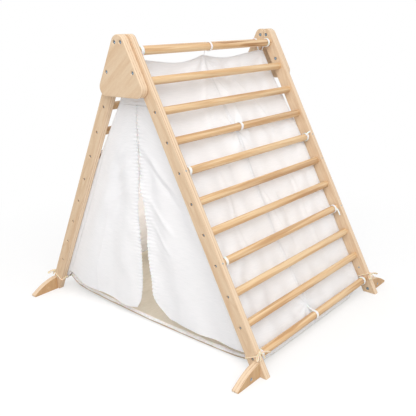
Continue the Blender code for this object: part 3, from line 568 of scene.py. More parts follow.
def turned(kind, centre, axis):
    # A profile turned about its axis; a hexagonal row has the radius r / cos((angle mod 60) - 30)
    profile, flats = bolt[kind]
    radius, height = profile.T
    angle = roundAngles(bolt["columns"])
    corner = 1 / np.cos(angle % (np.pi / 3) - np.pi / 6)
    wide = radius[:, None] * np.where(np.isin(np.arange(len(radius)), flats)[:, None], corner, 1.0)
    axis = np.array(axis, float)
    first = unit(np.cross(axis, (0, 0, 1) if abs(axis[2]) < 0.9 else (1, 0, 0)))
    section = oval(angle, wide, wide)
    rings = centre + section[..., :1] * first + section[..., 1:] * np.cross(axis, first)
    return rings + height[:, None, None] * axis


def steelPiece(name, grids, *stands):
    # Skins of zinc plated steel as one piece of the frame
    ride(tubes(name, grids, steel, sharp=35), "zinc_steel", *stands)


def makeBolts():
    # Heads, lock screws and inserts on the uprights, then the bolts of the brackets and the feet
    head, pitch = ladder["outerHalf"] - bolt["recess"], ladder["pitch"]
    for name, side in sides.items():
        heads = [turned("head", onLadder(way * head, 0.0, i * pitch, side), (way, 0, 0))
                 for i in range(rungCount) for way in hands.values()]
        screws = []
        for number, way in bolt["locked"] + ((bolt["frontLock"],) if name == "front" else ()):
            centre = onLadder(way * ladder["middleHalf"], -ladder["halfWidth"], (number - 1) * pitch, side)
            screws.append(turned("lockScrew", centre, (0, side * slope[1], slope[0])))
        for way in hands.values():
            screws.append(turned("sleeve", onLadder(way * ladder["innerHalf"], 0.0, 9.5 * pitch, side),
                                 (-way, 0, 0)))
        steelPiece(f"{name}RungBolts", heads,
                   *(f"{name}_rung_{number:02d}" for number in range(1, rungCount + 1)))
        steelPiece(f"{name}LockScrews", screws, f"{name}_rung_05", f"{name}_rung_08")
        for hand, way in hands.items():
            inner = way * (ladder["innerHalf"] + bolt["proud"])
            outer = way * (bracketShape["near"] + bracketShape["thick"] - bolt["wideRecess"])
            for level, (y, z) in boltLevels.items():
                grids = [turned("wideHead", (outer, side * y, z), (way, 0, 0)),
                         turned("nut", (inner, side * y, z), (-way, 0, 0))]
                steelPiece(f"{hand}{name.title()}{level.title()}Bolt", grids,
                           f"{hand}_{name}_{level}_bracket_bolt")
            high, half = footShape["boltHeight"], footShape["thick"] / 2
            x = way * (ladder["outerHalf"] + footShape["barrelReach"])
            grids = [turned("wideHead", (inner, side * footY, high), (-way, 0, 0)),
                     turned("barrel", (x, side * (footY + half - bolt["sunk"]), high), (0, side, 0))]
            steelPiece(f"{name}{hand.title()}FootBolt", grids, f"{name}_{hand}_foot_bolt")
            skin = turned("plug", (x, side * (footY - half), high), (0, -side, 0))
            plug = tubes(f"{name}{hand.title()}FootPlug", [skin], footWood, sharp=35)
            ride(plug, "cut_plywood", f"{name}_{hand}_foot")


makeBolts()
print("bolts made")


# Tent cover. Its lines list (down the slope, inside the rungs) in mm; x runs along the rungs

cover = {
    "corner": mm((13.6, 35), (140, 37), (250, 29), (347, 22), (372, 17.2), (460, 18), (550, 18.2),
                 (640, 16.5), (730, 18.5), (830, 18.5), (920, 16.8), (960, 16.8)),
    "cornerBack": mm((13.6, 35), (140, 37), (250, 29), (347, 21), (390, 17.2), (440, 15.6), (900, 15.4),
                     (960, 15.6)),
    "cornerRight": mm((13.6, 35), (134, 33), (193, 27), (249, 24.5), (294, 19.5), (347, 17), (460, 16.8),
                      (550, 17.2), (640, 15.8), (730, 17.5), (830, 17.5), (920, 16.5), (960, 16.8)),
    "middle": mm((13.6, 35), (100, 36), (200, 26), (276, 16.8), (400, 24), (600, 28), (800, 24), (920, 16.8),
                 (960, 17)),
    "half": 0.3165, "end": 0.3185, "endTop": 0.836, "thick": 0.0012, "flare": 0.0045, "closest": 0.0135,
    "middleTie": -0.01, "outerTie": 0.3, "ridge": 0.838, "ridgeSag": (0.018, 0.015), "ridgeGap": 0.0008,
    "sag": 0.007, "bend": 0.1, "hemInside": 0.0168, "hemDrop": 0.0028, "hemWide": 0.013, "hemHeight": 0.0135,
    "dip": 0.0015, "dipWidth": 0.006, "flareWidth": 0.0195,
    "lifts": {(-1, -1): 0.014, (-1, 1): 0.03, (1, -1): 0.048, (1, 1): 0.03},
}
cornerLines = {-1: "corner", 0: "corner", 1: "cornerBack"}
cornerDown = np.linspace(0.0, 0.98, 500)
cornerPlaces = {line: onLadder(0.0, through(cornerDown, cover[line]), cornerDown, 1)[::-1]
                for line in ("corner", "cornerBack", "cornerRight")}


def cornerY(height, line="corner"):
    # How far from the mid-plane a side hem of the sloping panels is, at a height
    return np.interp(height, cornerPlaces[line][:, 2], cornerPlaces[line][:, 1])


def clothPiece(name, points, finish, thick=None):
    # A sheet of cloth with its own flat coordinates in metres and a real thickness
    piece = meshPiece(name, points, gridFaces(*points.shape[:2]), finish)
    flat = np.stack((lengths(points, 1), lengths(points, 0)), axis=-1).reshape(-1, 2)
    corner = np.empty(len(piece.data.loops), np.int32)
    piece.data.loops.foreach_get("vertex_index", corner)
    layer = piece.data.uv_layers.new(name="flat")
    layer.uv.foreach_set("vector", flat[corner].astype(np.float32).ravel())
    wall = piece.modifiers.new("thickness", "SOLIDIFY")
    wall.thickness = thick or cover["thick"]
    wall.offset = 0
    return piece


def sheetLines(columns, rows, first=0):
    # Shares along a sheet's rows, from first to 1, and down its columns
    return np.linspace(first, 1, columns)[None, :], np.linspace(0, 1, rows)[:, None]


def fan(x, down, spot, rays, turn, size, reach):
    # Wrinkles that run out from a tie: size r exp(1 - r) sin(rays angle + turn), with r in reaches
    a, b = x - spot[0], down - spot[1]
    r = np.hypot(a, b) / reach
    return size * r * np.exp(1 - r) * np.sin(rays * np.arctan2(a, b) + turn)


def crease(x, down, line, width, size):
    # A soft ridge along a line of (x, down), which fades at its two ends
    at = through(down, line[:, ::-1])
    ends = smooth((down - line[0, 1]) / 0.05) * smooth((line[-1, 1] - down) / 0.06)
    return size * ends * np.exp(-((x - at) / width) ** 2)


def ridgeLine(x):
    # Where the ridge seam lies (down the slope, inside the rungs). It hangs in two bays, by the sag times
    # sin(pi t^1.4), t from the outer ties to the middle one
    middle = cover["middleTie"]
    left = x < middle
    t = np.clip(1 - np.abs(x - middle) / (cover["outerTie"] + np.where(left, middle, -middle)), 0, 1)
    height = cover["ridge"] - np.where(left, *cover["ridgeSag"]) * np.sin(np.pi * t ** 1.4)
    fall, run = ladder["topRung"] - height, ladder["setback"] - cover["ridgeGap"]
    return fall * slope[1] - run * slope[0], run * slope[1] + fall * slope[0]


def hang(x, down, side):
    # The smooth cloth: the hems' line blended to the middle line, with a sag in each bay
    middle = cover["middleTie"]
    toward = 1 - np.abs(x - middle) / (cover["half"] + np.where(x < middle, middle, -middle))
    mix = smooth(toward)
    calm = smooth(down / 0.12) * smooth((0.93 - down) / 0.1)
    edge = np.where(x < 0, through(down, cover[cornerLines[side]]), through(down, cover["cornerRight"]))
    line = edge * (1 - mix) + through(down, cover["middle"]) * mix
    return line + cover["sag"] * np.sin(np.pi * toward) * calm


# A crease has its line in mm (along x, down the slope), its width and its height; a fan has its spot, the
# number of its rays and their turn, its size and its reach
panelFolds = {
    "ripple": 0.0034,
    "crumple": 0.0038,
    "creases": [(mm((-12, 62), (5, 103), (31, 160), (34, 209), (31, 255), (39, 310), (43, 352)), 0.008,
                 -0.0026),
                (mm((9, 480), (21, 535), (21, 578), (34, 631), (58, 677), (65, 717)), 0.006, -0.003),
                (mm((63, 498), (68, 520), (74, 578), (84, 616)), 0.006, -0.0028),
                (mm((-20, 50), (-60, 120), (-100, 200), (-120, 300)), 0.009, -0.003),
                (mm((50, 60), (120, 130), (170, 240), (190, 360)), 0.008, -0.003),
                (mm((-160, 380), (-150, 470), (-170, 580), (-160, 700)), 0.01, -0.003),
                (mm((170, 420), (190, 520), (180, 660), (210, 800)), 0.009, -0.003)],
    "fans": [((-0.01, 0.012), 9, 0.6, 0.003, 0.05), ((-0.3, 0.02), 7, 0.2, 0.0022, 0.04),
             ((0.308, 0.02), 7, 1.1, 0.0022, 0.04), ((-0.013, 0.88), 9, 0.4, 0.0024, 0.03),
             ((0.308, 0.9), 8, 2.0, 0.0018, 0.025), ((-0.311, 0.9), 7, 0.5, 0.0016, 0.025),
             ((-0.315, 0.368), 6, 0.9, 0.0018, 0.035), ((0.315, 0.368), 6, 2.2, 0.0018, 0.035),
             ((-0.315, 0.644), 6, 1.7, 0.0016, 0.035), ((0.315, 0.644), 6, 0.3, 0.0016, 0.035),
             ((-0.015, 0.276), 8, 1.0, 0.0018, 0.03)],
}


def panelSeat(x, down, side):
    # How far inside the rungs the cloth lies, with the turn to the ridge, folds, wrinkles and creases
    top, inside = ridgeLine(x)
    turn = np.clip((cover["bend"] - down) / (cover["bend"] - top), 0, 1) ** 1.5
    base = hang(x, down, side) + (inside - hang(x, top, side)) * turn
    calm = smooth((cover["half"] - np.abs(x)) / 0.06) * smooth((0.95 - down) / 0.05)
    calm = calm * smooth((down - top) / 0.03)
    wander = 0.37 * (side > 0) + 0.35 * np.sin(down * 9) + 0.8 * down
    ripple = np.sin(2 * np.pi * (x / 0.085 + wander)) * (0.5 + 0.5 * softNoise(x / 0.11, down / 0.16, 3))
    crumple = softNoise(x / 0.045 + 5, down / 0.055, 7 + side)
    folds = panelFolds["ripple"] * ripple + panelFolds["crumple"] * crumple
    folds = folds + sum(fan(x, down, *given) for given in panelFolds["fans"])
    folds = folds + sum(crease(x, down, *given) for given in panelFolds["creases"])
    return np.maximum(base + folds * calm, cover["closest"])


def nearEnd(x):
    # 0 along the middle two thirds of the tent, rising softly to 1 at its two ends
    return smooth((np.abs(x) / cover["half"] - 0.66) / 0.34)


def panelBottom(x, side):
    # How far down the slope the bottom hem is: level, and lifted towards its two corners
    lift = np.where(x < 0, cover["lifts"][side, -1], cover["lifts"][side, 1]) + cover["hemDrop"]
    low = cover["hemHeight"] + (lift - cover["hemHeight"]) * nearEnd(x)
    return (ladder["topRung"] - cover["hemInside"] * slope[0] - low) / slope[1]


def panelColumns(inner, outer):
    # Places across a panel, closer together over its two hems
    hem = cover["half"] - np.linspace(0, cover["hemWide"], outer)
    middle = np.linspace(-hem[-1], hem[-1], inner + 2)[1:-1]
    return np.concatenate((-hem, middle, hem[::-1]))


def panelGrid(x, v, side, outward=0.0):
    # Points of a sloping panel, v from the ridge down to the bottom hem
    start = ridgeLine(x)[0]
    down = start + (panelBottom(x, side) - start) * v
    flare = cover["flare"] * np.sign(x) * smooth((np.abs(x) - 0.29) / 0.0265)
    return onLadder(x + flare + 0 * down, panelSeat(x, down, side) - outward, down, side)


# A loose end has knots in mm (along x, into the tent, down the slope), a width and its flat side's way
tie = {
    "width": 0.0105, "wide": 0.012, "thick": 0.0028, "endThick": 0.002, "tip": 0.0014, "sides": 16,
    "clear": 0.0004, "slant": 0.0012, "wobble": 0.0004, "fromRidge": 0.006, "fromHem": 0.005, "sink": 0.0012,
    "closest": 0.0148, "band": 0.0102, "bandThick": 0.0006, "bandClear": 0.0001,
    "flat": {"left": 0.0115, "right": 0.0115, "middle": 0.0102},
    "rungs": {"left": (1, 5, 8, 11), "right": (1, 5, 8, 11), "middle": (4, 11)},
    "places": {"left": -0.308, "right": 0.308, "middle": -0.01},
    "moved": {("middle", 4): -0.015, ("middle", 11): -0.0155, ("left", 1): -0.309, ("left", 5): -0.309,
              ("right", 5): 0.315, ("left", 8): -0.307, ("left", 11): -0.311},
    "ridgeSeat": (0.0146, -0.001),
    "second": {"x": -0.0095, "width": 0.0085},  # the middle tie at the ridge, beside the loose ends
    "loose": {
        ("front", "middle"): [
            (mm((-13, 15.5, 882), (-13.2, 8, 897), (-14, -6, 906.5), (-15, -13.5, 917)), 0.006,
             (0, -0.7, 0.7)),
            (mm((-13.5, 15.5, 883), (-16.5, 14.5, 893), (-17.5, 14.5, 905)), 0.004, (0, -0.9, 0.4)),
            (mm((-15.5, 14.5, -2), (-14.5, 18.5, 6), (-11.5, 29.5, 14.5)), 0.0055, (0.6, -0.8, 0))],
        ("front", "left"): [
            (mm((-317.5, 14.5, 876), (-315, 6, 894), (-312, -7, 905.5), (-309.5, -13.5, 916)), 0.0085,
             (0, -0.7, 0.7))],
        ("front", "right"): [
            (mm((301, -13.5, 365), (311, -15.2, 360.5), (320, -17.5, 357.5), (329, -21.5, 355.5)), 0.0065,
             (0, -0.89, 0.46)),
            (mm((312.5, -13.5, 645), (313, -15.2, 654), (313.5, -15.2, 665), (314.5, -14.5, 675)), 0.0065,
             (-0.3, -0.85, 0.4))],
    },
}


def tieGrid(side, x, number, seat, width, slant=tie["slant"]):
    # A soft flat strap pulled round a rung and drawn to a point on the cloth. Its section is cos and sin,
    # drawn out to rounded corners
    radius = rung["radius"] + tie["clear"] + tie["thick"] / 2
    path = bandRound([(seat, tie["tip"], 3), ((0, -(number - 1) * ladder["pitch"]), radius, 26)])
    turn = roundAngles(len(path))
    across = x + slant * np.sin(turn) + tie["wobble"] * np.sin(3 * turn + number)
    ahead = unit(np.roll(path, -1, axis=0) - np.roll(path, 1, axis=0))
    angle = roundAngles(tie["sides"])
    wide = width / 2 * np.sign(np.cos(angle)) * np.abs(np.cos(angle)) ** 0.7
    high = tie["thick"] / 2 * np.sign(np.sin(angle)) * np.abs(np.sin(angle)) ** 0.8
    place = path[:, None] + (ahead[:, ::-1] * (1, -1))[:, None] * high[:, None]
    return onLadder(across[:, None] + wide, place[..., 0], -place[..., 1], side)


def tail(side, knots, width, normal):
    # A loose end: a flat strap through its knots, with round ends: its section grows as sin(pi t)^0.25
    t = np.linspace(0, 1, 20)
    at = np.linspace(0, 1, len(knots))
    across, inward, down = (through(t, list(zip(at, values))) for values in knots.T)
    close = np.abs(np.sin(np.pi * t)) ** 0.25
    close[[0, -1]] = 0
    profile = oval(roundAngles(12), width / 2, tie["endThick"] / 2) * close[:, None, None]
    return alongPath(onLadder(across, inward, down, side), normal, profile)


def makePanel(name, side):
    # The panel, the bands sewn along it, and the ties on them
    points = panelGrid(panelColumns(160, 9)[None, :], np.linspace(0, 1, 250)[:, None], side)
    panel = clothPiece(f"{name}Panel", points[:, ::side], cloth)
    ride(panel, "white_cotton", f"{name}_panel")
    bands = {"left": -cover["half"], "right": cover["half"] - tie["band"]}
    if name == "front":
        bands["middle"] = cover["middleTie"] - tie["band"] / 2
    for hand, first in bands.items():
        node, title = f"{name}_{hand}_tie_tape", name + hand.title()
        x = np.linspace(first, first + tie["band"], 5)[None, :]
        grid = panelGrid(x, np.linspace(0.004, 0.997, 300)[:, None], side,
                         cover["thick"] / 2 + tie["bandClear"])
        band = clothPiece(title + "Band", grid[:, ::side], bandCloth, tie["bandThick"])
        ride(band, "cotton_tape", node)
        grids = []
        for number in tie["rungs"][hand]:
            place = tie["moved"].get((hand, number) if name == "front" else None, tie["places"][hand])
            highest = ridgeLine(place)[0] + tie["fromRidge"]
            lowest = panelBottom(place, side) - tie["fromHem"]
            down = float(np.clip((number - 1) * ladder["pitch"], highest, lowest))
            inward = max(float(panelSeat(place, down, side)) - tie["sink"], tie["closest"])
            wide = tie["wide"] if (hand, number) == ("left", 1) else tie["width"]
            grids.append(tieGrid(side, place, number, tie["ridgeSeat"] if number == 1 else (inward, -down),
                                 wide))
        if hand == "middle":
            grids.append(tieGrid(side, tie["second"]["x"], 1, tie["ridgeSeat"], tie["second"]["width"], 0.0))
        ties = ride(tubes(title + "Ties", grids, tapeYarn, closed=True), "cotton_tape", node)
        loose = tie["loose"].get((name, hand), [])
        if hand != "middle":
            x = hands[hand] * 309
            loose = loose + [(mm((x, 14.5, 0), (x, 20.5, 8), (x, 29.5, 15.5)), 0.008, (0, -side * 0.8, 0.6))]
        strands = [tail(side, *given) for given in loose]
        ride(tubes(title + "Strands", strands, tapeYarn), "cotton_tape", node)


# Door. The slit and the pressed line list (height, y) in mm, a crease (y, height), and a hem (distance from
# the mid-plane, height)

door = {
    "slit": {1: mm((40, 46), (64, 31), (102, 22), (187, 12), (256, 11.5), (306.5, 16), (367, 14), (453, 5),
                   (490, 4), (550, 0.5), (600, -2.5), (640, -3), (710, -9)),
             -1: mm((42.5, -100), (72, -57), (107, -38), (150, -34), (210, -25.5), (274, -23), (337, -21),
                    (423, -16.5), (455, -8.5), (527, -7.5), (574, -8.5), (620, -7.8), (650, -6.8),
                    (710, -10.5))},
    "hem": {1: mm((46, 39), (85, 33), (139, 36), (186, 38), (234, 41), (283, 45), (310, 46), (331, 49),
                  (354, 56), (373, 64), (391, 71), (430, 75)),
            -1: mm((38, 104), (54, 68), (86, 46), (140, 41), (196, 40), (250, 36), (302, 35.5), (346, 35),
                   (395, 40))},
    "pressed": mm((51, 244), (126, 235), (170, 224), (232, 200), (308, 175), (394, 142)),
    "creases": {-1: [(mm((-160, 445), (-112, 498), (-53, 559), (-8, 615)), 0.016, -0.0042),
                     (mm((-175, 400), (-125, 455), (-70, 515), (-30, 560)), 0.014, 0.003),
                     (mm((-150, 315), (-83, 385), (-18, 450)), 0.014, -0.0038),
                     (mm((-140, 250), (-95, 300), (-22, 385)), 0.013, -0.0034)],
                1: [(mm((100, 520), (71, 553), (30, 605)), 0.012, -0.0034),
                    (mm((100, 455), (68, 499), (12, 560)), 0.012, -0.0034),
                    (mm((140, 370), (104, 418), (30, 465)), 0.012, -0.003)]},
    "yokeLow": 0.7116, "flapTop": 0.71155, "hinge": 0.0315, "seamPast": 0.002, "hemStart": 0.05,
    "stripWide": 0.0004, "stripLow": {-1: 0.02, 1: 0.075}, "stripTop": 0.63,
    "broad": 0.0044, "slanted": 0.0012, "crumple": 0.003, "pucker": 0.0021, "pressedIn": 0.0022,
}


def hingeY(height):
    # How far from the mid-plane the flaps' hinge seams are: a line that runs this far inside the rungs
    down = (ladder["topRung"] - door["hinge"] * slope[0] - height) / slope[1]
    return ladder["setback"] + down * slope[0] - door["hinge"] * slope[1]


def slitY(height, side):
    # Where a flap's slit edge is at a height; side 0 is halfway between the two
    if side:
        return through(height, door["slit"][side])
    return (slitY(height, 1) + slitY(height, -1)) / 2


def turnIn(fromCorner):
    # How far an end's cloth dips next to its corner and then runs out past it
    dip = cover["dip"] * (1 - smooth(fromCorner / cover["dipWidth"]))
    return dip - cover["flare"] * (1 - smooth(fromCorner / cover["flareWidth"]))


def doorPlace(y, height, side):
    # The door's cloth: broad folds that fan from the ridge, short slanted ones that start in the puckered
    # slit edge, a soft crumple, creases, and on the back flap a pressed line
    fromCorner = cornerY(height, cornerLines[side]) - np.abs(y)
    apart = np.abs(y - slitY(height, side))
    angle = np.arctan2(np.abs(y + 0.006), 0.80 - height)
    broad = np.sin(angle * 24 + 1.2 * side + 0.8 * softNoise(y / 0.1, height / 0.1, 31))
    broad = broad * smooth((0.66 - height) / 0.3)
    lineUp = (height + 1.15 * apart) / 0.06 + 0.6 * softNoise(y / 0.07, height / 0.07, 33)
    slanted = np.sin(2 * np.pi * lineUp) * np.exp(-apart / 0.04)
    slanted = slanted * (0.5 + 0.5 * softNoise(y / 0.06, height / 0.09, 37))
    slanted = slanted * smooth((0.69 - height) / 0.06) * smooth((height - 0.06) / 0.1)
    pucker = np.sin(2 * np.pi * height / 0.0115 + 2 * softNoise(y / 0.03, height / 0.03, 35))
    pucker = pucker * np.exp(-apart / 0.014)
    pucker = pucker * smooth((0.735 - height) / 0.02) * smooth((height - 0.07) / 0.05)
    crumple = softNoise(y / 0.055, height / 0.065, 11)
    depth = door["broad"] * broad + door["slanted"] * slanted + door["crumple"] * crumple
    depth = depth + sum(crease(y, height, *given) for given in door["creases"].get(side, []))
    if side > 0:
        line = through(height, door["pressed"])
        depth = depth - door["pressedIn"] * np.exp(-np.abs(y - line) / 0.006) * smooth((0.4 - height) / 0.08)
    depth = depth * smooth(fromCorner / 0.05) + door["pucker"] * pucker + turnIn(fromCorner)
    return np.stack((-cover["end"] + depth, y + 0 * depth, height + 0 * depth), axis=-1)


hem = {"width": 0.0052, "thick": 0.0026, "period": 0.0056, "rows": 6, "sides": 10}


def hemGrid(path, normal, toCloth):
    # An overlocked edge: a flat bead whose width and height swell as |sin| of its length over the stitch
    path, at = evenSteps(path, hem["period"] / hem["rows"], 4)
    swell = 0.6 + 0.4 * np.abs(np.sin(np.pi * at / hem["period"]))
    swell[[0, -1]] = 0
    profile = oval(roundAngles(hem["sides"]), hem["width"] / 2, hem["thick"] / 2) * swell[:, None, None]
    profile[..., 0] += toCloth * hem["width"] * 0.35
    return alongPath(path, normal, profile)


def makeFlap(name, side):
    # u runs from the hinge to the slit, v from the hem up
    u, v = sheetLines(130, 240)
    line = cornerLines[side]

    def outer(height):
        # How far out the cloth goes: just past the hinge seam, but not past the panel's hem
        return np.minimum(hingeY(height) + door["seamPast"], cornerY(height, line))

    def across(height):
        # The places y of a row, from the hinge to the slit
        return side * outer(height) * (1 - u) + slitY(height, side) * u

    low = door["hemStart"] + 0 * u
    for _ in range(8):
        low = (low + through(side * across(low), door["hem"][side])) / 2
    height = low + (door["flapTop"] - low) * v
    points = doorPlace(across(height), height, side)
    flap = clothPiece(f"{name}Flap", points[:, ::-side], cloth)
    ride(flap, "white_cotton", f"{name}_door_flap", body=f"{name}_flap")
    path = np.concatenate((points[0], points[1:, -1]))
    bead = tubes(f"{name}FlapHem", [hemGrid(path, (-1, 0, 0), -side)], hemYarn)
    ride(bead, "white_cotton", f"{name}_door_flap", body=f"{name}_flap")

    # The strip between the hinge seam and the panel's hem stays still
    share, v = sheetLines(8, 200)
    height = door["stripLow"][side] + (door["stripTop"] - door["stripLow"][side]) * v
    edge = outer(height)
    y = side * (edge + (np.maximum(cornerY(height, line), edge + door["stripWide"]) - edge) * share)
    strip = doorPlace(y, height, side)
    piece = clothPiece(f"{name}DoorCorner", strip[:, ::side], cloth)
    ride(piece, "white_cotton", "door_yoke")


def makeYoke():
    # The cloth over the two flaps, from hem to hem
    u, v = sheetLines(110, 50, -1)
    height = door["yokeLow"] + (cover["endTop"] - door["yokeLow"]) * v
    points = doorPlace(u * cornerY(height), height, 0)
    piece = clothPiece("doorYoke", points[:, ::-1], cloth)
    ride(piece, "white_cotton", "door_yoke")


endPanel = {"low": 0.003, "lift": 0.03, "fold": 0.0042, "folds": 19, "crumple": 0.0016}


def makeEnd():
    # The closed end: wide folds that fan from the ridge, and a soft crumple
    u, v = sheetLines(170, 200, -1)
    low = endPanel["low"] + endPanel["lift"] * smooth((np.abs(u) - 0.8) / 0.2)
    height = low + (cover["endTop"] - low) * v
    y = u * cornerY(height, "cornerRight")
    fromCorner = cornerY(height, "cornerRight") - np.abs(y)
    fold = np.sin(endPanel["folds"] * np.arctan2(y, 0.86 - height) + 0.8) * smooth((0.75 - height) / 0.4)
    fold = endPanel["fold"] * fold + endPanel["crumple"] * softNoise(y / 0.05, height / 0.06, 21)
    fold = fold * smooth(fromCorner / 0.06) * smooth(v / 0.08)
    points = np.stack((cover["end"] + fold - turnIn(fromCorner), y, height + 0 * y), axis=-1)
    piece = clothPiece("rightEndPanel", points, cloth)
    ride(piece, "white_cotton", "right_end_panel")


floorSheet = {
    "left": -0.306, "draw": 0.004, "level": 0.0016, "rimWide": 0.016, "rimHigh": 0.008, "shadowLine": 0.0013,
    "endRise": 0.03, "ruck": 0.0012, "underHem": 0.003, "fromEnd": 0.0015, "fromSides": 0.001,
    "doorRise": [(-1, 0.014), (-0.8, 0), (-0.76, 0), (0, 0), (0.11, 0.002), (0.34, 0.006), (0.49, 0.0085),
                 (0.68, 0.013), (0.76, 0.016), (0.84, 0.0205), (0.916, 0.033), (0.96, 0.044), (1, 0.049)],
}


def floorHeight(x, across):
    # Flat on the ground, with its corners held up: a rise across the tent times one towards its ends
    rise = np.maximum(through(across, floorSheet["doorRise"]), 0)
    rise = np.where(x < 0, rise, floorSheet["endRise"] * smooth((np.abs(across) - 0.8) / 0.2))
    ruck = floorSheet["ruck"] * (1 + softNoise(x / 0.05, across * 7, 41))
    ruck = ruck * smooth((0.95 - np.abs(across)) / 0.1)
    edge = (cover["hemHeight"] - floorSheet["underHem"]) * smooth((np.abs(across) - 0.95) / 0.05)
    return floorSheet["level"] + ruck + rise * nearEnd(x) + edge * (1 - nearEnd(x))


def makeFloorSheet():
    # The sheet, and at the door its padded rim, with a thin brown line under the rim's outer edge as painted
    # contact shadow
    u, across = sheetLines(180, 220)
    across = 2 * across - 1
    left = floorSheet["left"] + floorSheet["draw"] * across ** 4
    x = left + (cover["half"] - floorSheet["fromEnd"] - left) * u
    height = floorHeight(x, across)
    clear = floorSheet["fromSides"]
    points = np.stack((x, across * (cornerY(height + clear) - clear), height), axis=-1)
    piece = clothPiece("floorSheet", points, floorCloth)
    ride(piece, "white_cotton", "floor_sheet")
    wide, high, thin = floorSheet["rimWide"] / 2, floorSheet["rimHigh"] / 2, floorSheet["shadowLine"]
    path, at = evenSteps(points[:, 0] + (0.006, 0, high - 0.0004), 0.004, 3)
    puff = 0.85 + 0.15 * softNoise(at / 0.05, 0 * at, 43) + 0.1 * softNoise(at / 0.015, 0 * at, 45)
    puff[[0, -1]] = 0
    angle, up = roundAngles(20), (0, 0, 1)
    rim = tubes("floorRim", [alongPath(path, up, oval(angle, wide, high) * puff[:, None, None])], rimYarn)
    ride(rim, "white_cotton", "floor_sheet")
    # A thin brown tube along the foot of the rim's outer side: painted contact shadow on the floor
    path = path - (wide - 0.0004, 0, high - 0.0016)
    line = alongPath(path, up, oval(angle, thin, thin) * (puff > 0)[:, None, None])
    shadowLine = ride(tubes("floorContactShadow", [line], contactShadowYarn), "white_cotton", "floor_sheet")


for name, side in sides.items():
    makePanel(name, side)
    makeFlap(name, side)
makeYoke()
makeEnd()
makeFloorSheet()
print("cover made")


# Cords round the uprights

cord = {"radius": 0.0021, "lay": 0.008, "step": 0.0009, "rise": 0.0158, "slip": 0.0085, "ear": 0.03,
        "earWidth": 0.016, "droop": 0.012, "tail": 0.02, "knot": 0.0034, "turns": 2.3, "knotLong": 0.0075,
        "bend": 0.002, "clear": 0.0002, "slack": 0.002, "lift": 0.002, "sides": 18}


def cordGrid(path, normal, closed=False):
    # A cord of three strands: its radius is R (0.84 + 0.16 |cos(1.5 (angle - 2 pi s / lay))|) at a length s
    path, at = evenSteps(np.concatenate((path, path[:1])) if closed else path, cord["step"],
                         0 if closed else 1)
    if closed:
        path, at = path[:-1], at[:-1]
    angle = roundAngles(cord["sides"])
    twist = 1.5 * (angle - 2 * np.pi * at[:, None] / cord["lay"])
    strand = cord["radius"] * (0.84 + 0.16 * np.abs(np.cos(twist)))
    profile = oval(angle, strand, strand)
    if not closed:
        profile[[0, -1]] = 0
    return alongPath(path, normal, profile, closed)


def makeCord(name, side, hand, way):
    # Round the upright, over the rung and a little lower outside, with a bow on the upright's outer edge
    down = (rungCount - 1) * ladder["pitch"] - cord["rise"]
    mid = ladder["middleHalf"]
    half = np.array(((ladder["outerHalf"] - ladder["innerHalf"]) / 2, ladder["halfWidth"]))
    corners = np.array((mid, 0)) + np.array(((1, 1), (-1, 1), (-1, -1), (1, -1))) * (half - cord["bend"])
    quarter = math.pi / 2
    ring = np.concatenate([arc(corner, cord["radius"] + cord["clear"], quarter * i, quarter * (i + 1), 6)
                           for i, corner in enumerate(corners)])
    ring = ring + cord["slack"] * unit(ring - ring.mean(axis=0))
    right, upSlope = np.array((1.0, 0, 0)), np.array((0, -side * slope[0], slope[1]))
    outSlope = np.array((0, side * slope[1], slope[0]))
    lower = cord["slip"] * (ring[:, 0] - mid + half[0]) / (2 * half[0])
    loop = cordGrid(onLadder(way * ring[:, 0], ring[:, 1], down + lower, side), upSlope, closed=True)
    knot = onLadder(way * mid, -half[1] - cord["radius"] - cord["lift"], down + cord["slip"] / 2, side)
    t, s = np.linspace(0.04, 0.96, 40)[:, None], np.linspace(0, 1, 20)[:, None]
    out, grids = np.sin(np.pi * t), []
    for lean in (-1, 1):
        ear = lean * cord["ear"] * out * right
        ear = ear + cord["earWidth"] / 2 * out * (1 + 0.8 * np.cos(np.pi * t)) * outSlope
        ear = knot + ear - cord["droop"] * out ** 2 * upSlope + cord["lift"] * outSlope
        grids.append(cordGrid(ear, upSlope))
        end = lean * cord["tail"] * (0.12 + 0.45 * s) * right
        end = end + (cord["lift"] + 0.003 * np.sin(np.pi * s)) * outSlope
        grids.append(cordGrid(knot + end - cord["tail"] * s * upSlope, outSlope))
    s = np.linspace(0, 1, 60)[:, None]
    winding = cord["turns"] * 2 * np.pi * s
    wound = 0.8 * cord["knot"] * (np.cos(winding) * upSlope + np.sin(winding) * outSlope)
    wound = wound + cord["knotLong"] * (s - 0.5) * right
    grids.append(cordGrid(knot + wound, right))
    for part, skins in (("Loop", [loop]), ("Bow", grids)):
        piece = tubes(f"{name}{hand.title()}Cord{part}", skins, cordYarn, closed=part == "Loop")
        ride(piece, "natural_cord", f"{name}_{hand}_cord")


for place in fourCorners:
    makeCord(*place)
print("cords made")


# Floor and light

studio = {
    "floor": "#fdfdfd", "bounce": "#d4d2d0", "world": 0.79, "nearWhite": 0.5, "fadeStart": 0.6,
    "fadeEnd": 1.6, "keyPlace": (-2.2, -2.0, 3.1), "keyAim": (0, 0, 0.4), "keyPower": 84, "keySize": 3.6,
    "keyColour": "#ffffff", "glowPlace": (0.1, 0.06, 0.3), "glowPower": 2.2, "glowSize": 0.12,
    "glowColour": "#f9efe6", "floorHalf": 30,
}


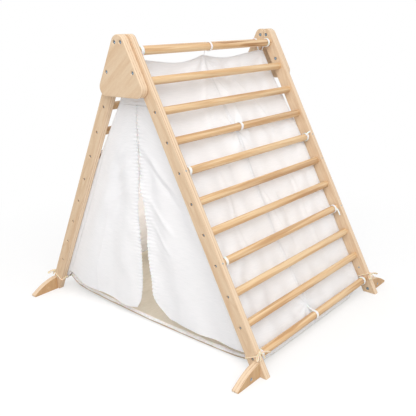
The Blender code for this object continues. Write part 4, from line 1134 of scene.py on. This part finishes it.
def makeFloor():
    # A plain pale floor that turns into the white background a metre or two from the object
    made, add = newMaterial("paleFloor", {"Roughness": 0.9, "IOR": 1.5, "Specular IOR Level": 0.0})
    seen = add("LightPath", out="Is Camera Ray")
    colour = add("Mix", {6: linear(studio["bounce"]), 7: linear(studio["floor"]), 0: seen}, out=2,
                 data_type="RGBA")
    finishWith(made, {"Base Color": colour})
    far = add("VectorMath", {0: add("TexCoord", out="Object")}, out=1, operation="LENGTH")
    fade = add("MapRange", {1: studio["fadeStart"], 2: studio["fadeEnd"], 3: studio["nearWhite"], 0: far},
               interpolation_type="SMOOTHSTEP")
    amount = add("Math", {0: fade, 1: seen}, operation="MULTIPLY")
    own = made.node_tree.nodes
    blend = add("MixShader", {0: amount, 1: own["Principled BSDF"].outputs[0], 2: add("Emission")})
    made.node_tree.links.new(blend, own["Material Output"].inputs["Surface"])
    half = studio["floorHalf"]
    corners = [(x * half, y * half, 0) for x, y in ((-1, -1), (1, -1), (1, 1), (-1, 1))]
    meshPiece("floor", corners, [(0, 1, 2, 3)], made)


def makeWorld():
    # White as the camera and shiny pieces see it, and a little dimmer as a light
    world = bpy.data.worlds.new("studio")
    bpy.context.scene.world = world
    world.use_nodes = True
    world.node_tree.nodes.clear()
    add = partial(addNode, world.node_tree)
    seen = add("LightPath", out=None)
    direct = add("Math", {0: seen["Is Camera Ray"], 1: seen["Is Glossy Ray"]}, operation="MAXIMUM")
    bright = add("MapRange", {3: studio["world"], 0: direct})
    back = add("Background", {0: (1, 1, 1, 1), 1: bright})
    add("OutputWorld", {0: back}, out=None)


def makeLamp(name, kind, place, power, colour, **settings):
    # A lamp of the given power in watts
    data = bpy.data.lights.new(name, kind)
    data.energy = power
    data.color = linear(colour)[:3]
    for key, value in settings.items():
        setattr(data, key, value)
    lamp = addObject(name, data)
    lamp.location = place
    return lamp


makeFloor()
makeWorld()
key = makeLamp("keyLamp", "AREA", studio["keyPlace"], studio["keyPower"], studio["keyColour"], shape="DISK",
               size=studio["keySize"])
key.rotation_euler = (Vector(studio["keyAim"]) - key.location).to_track_quat("-Z", "Y").to_euler()
# The light that thin cloth lets through, as a few soft watts inside the tent
makeLamp("tentGlow", "POINT", studio["glowPlace"], studio["glowPower"], studio["glowColour"],
         shadow_soft_size=studio["glowSize"])
bpy.context.scene.view_settings.view_transform = "Standard"
print("studio made")
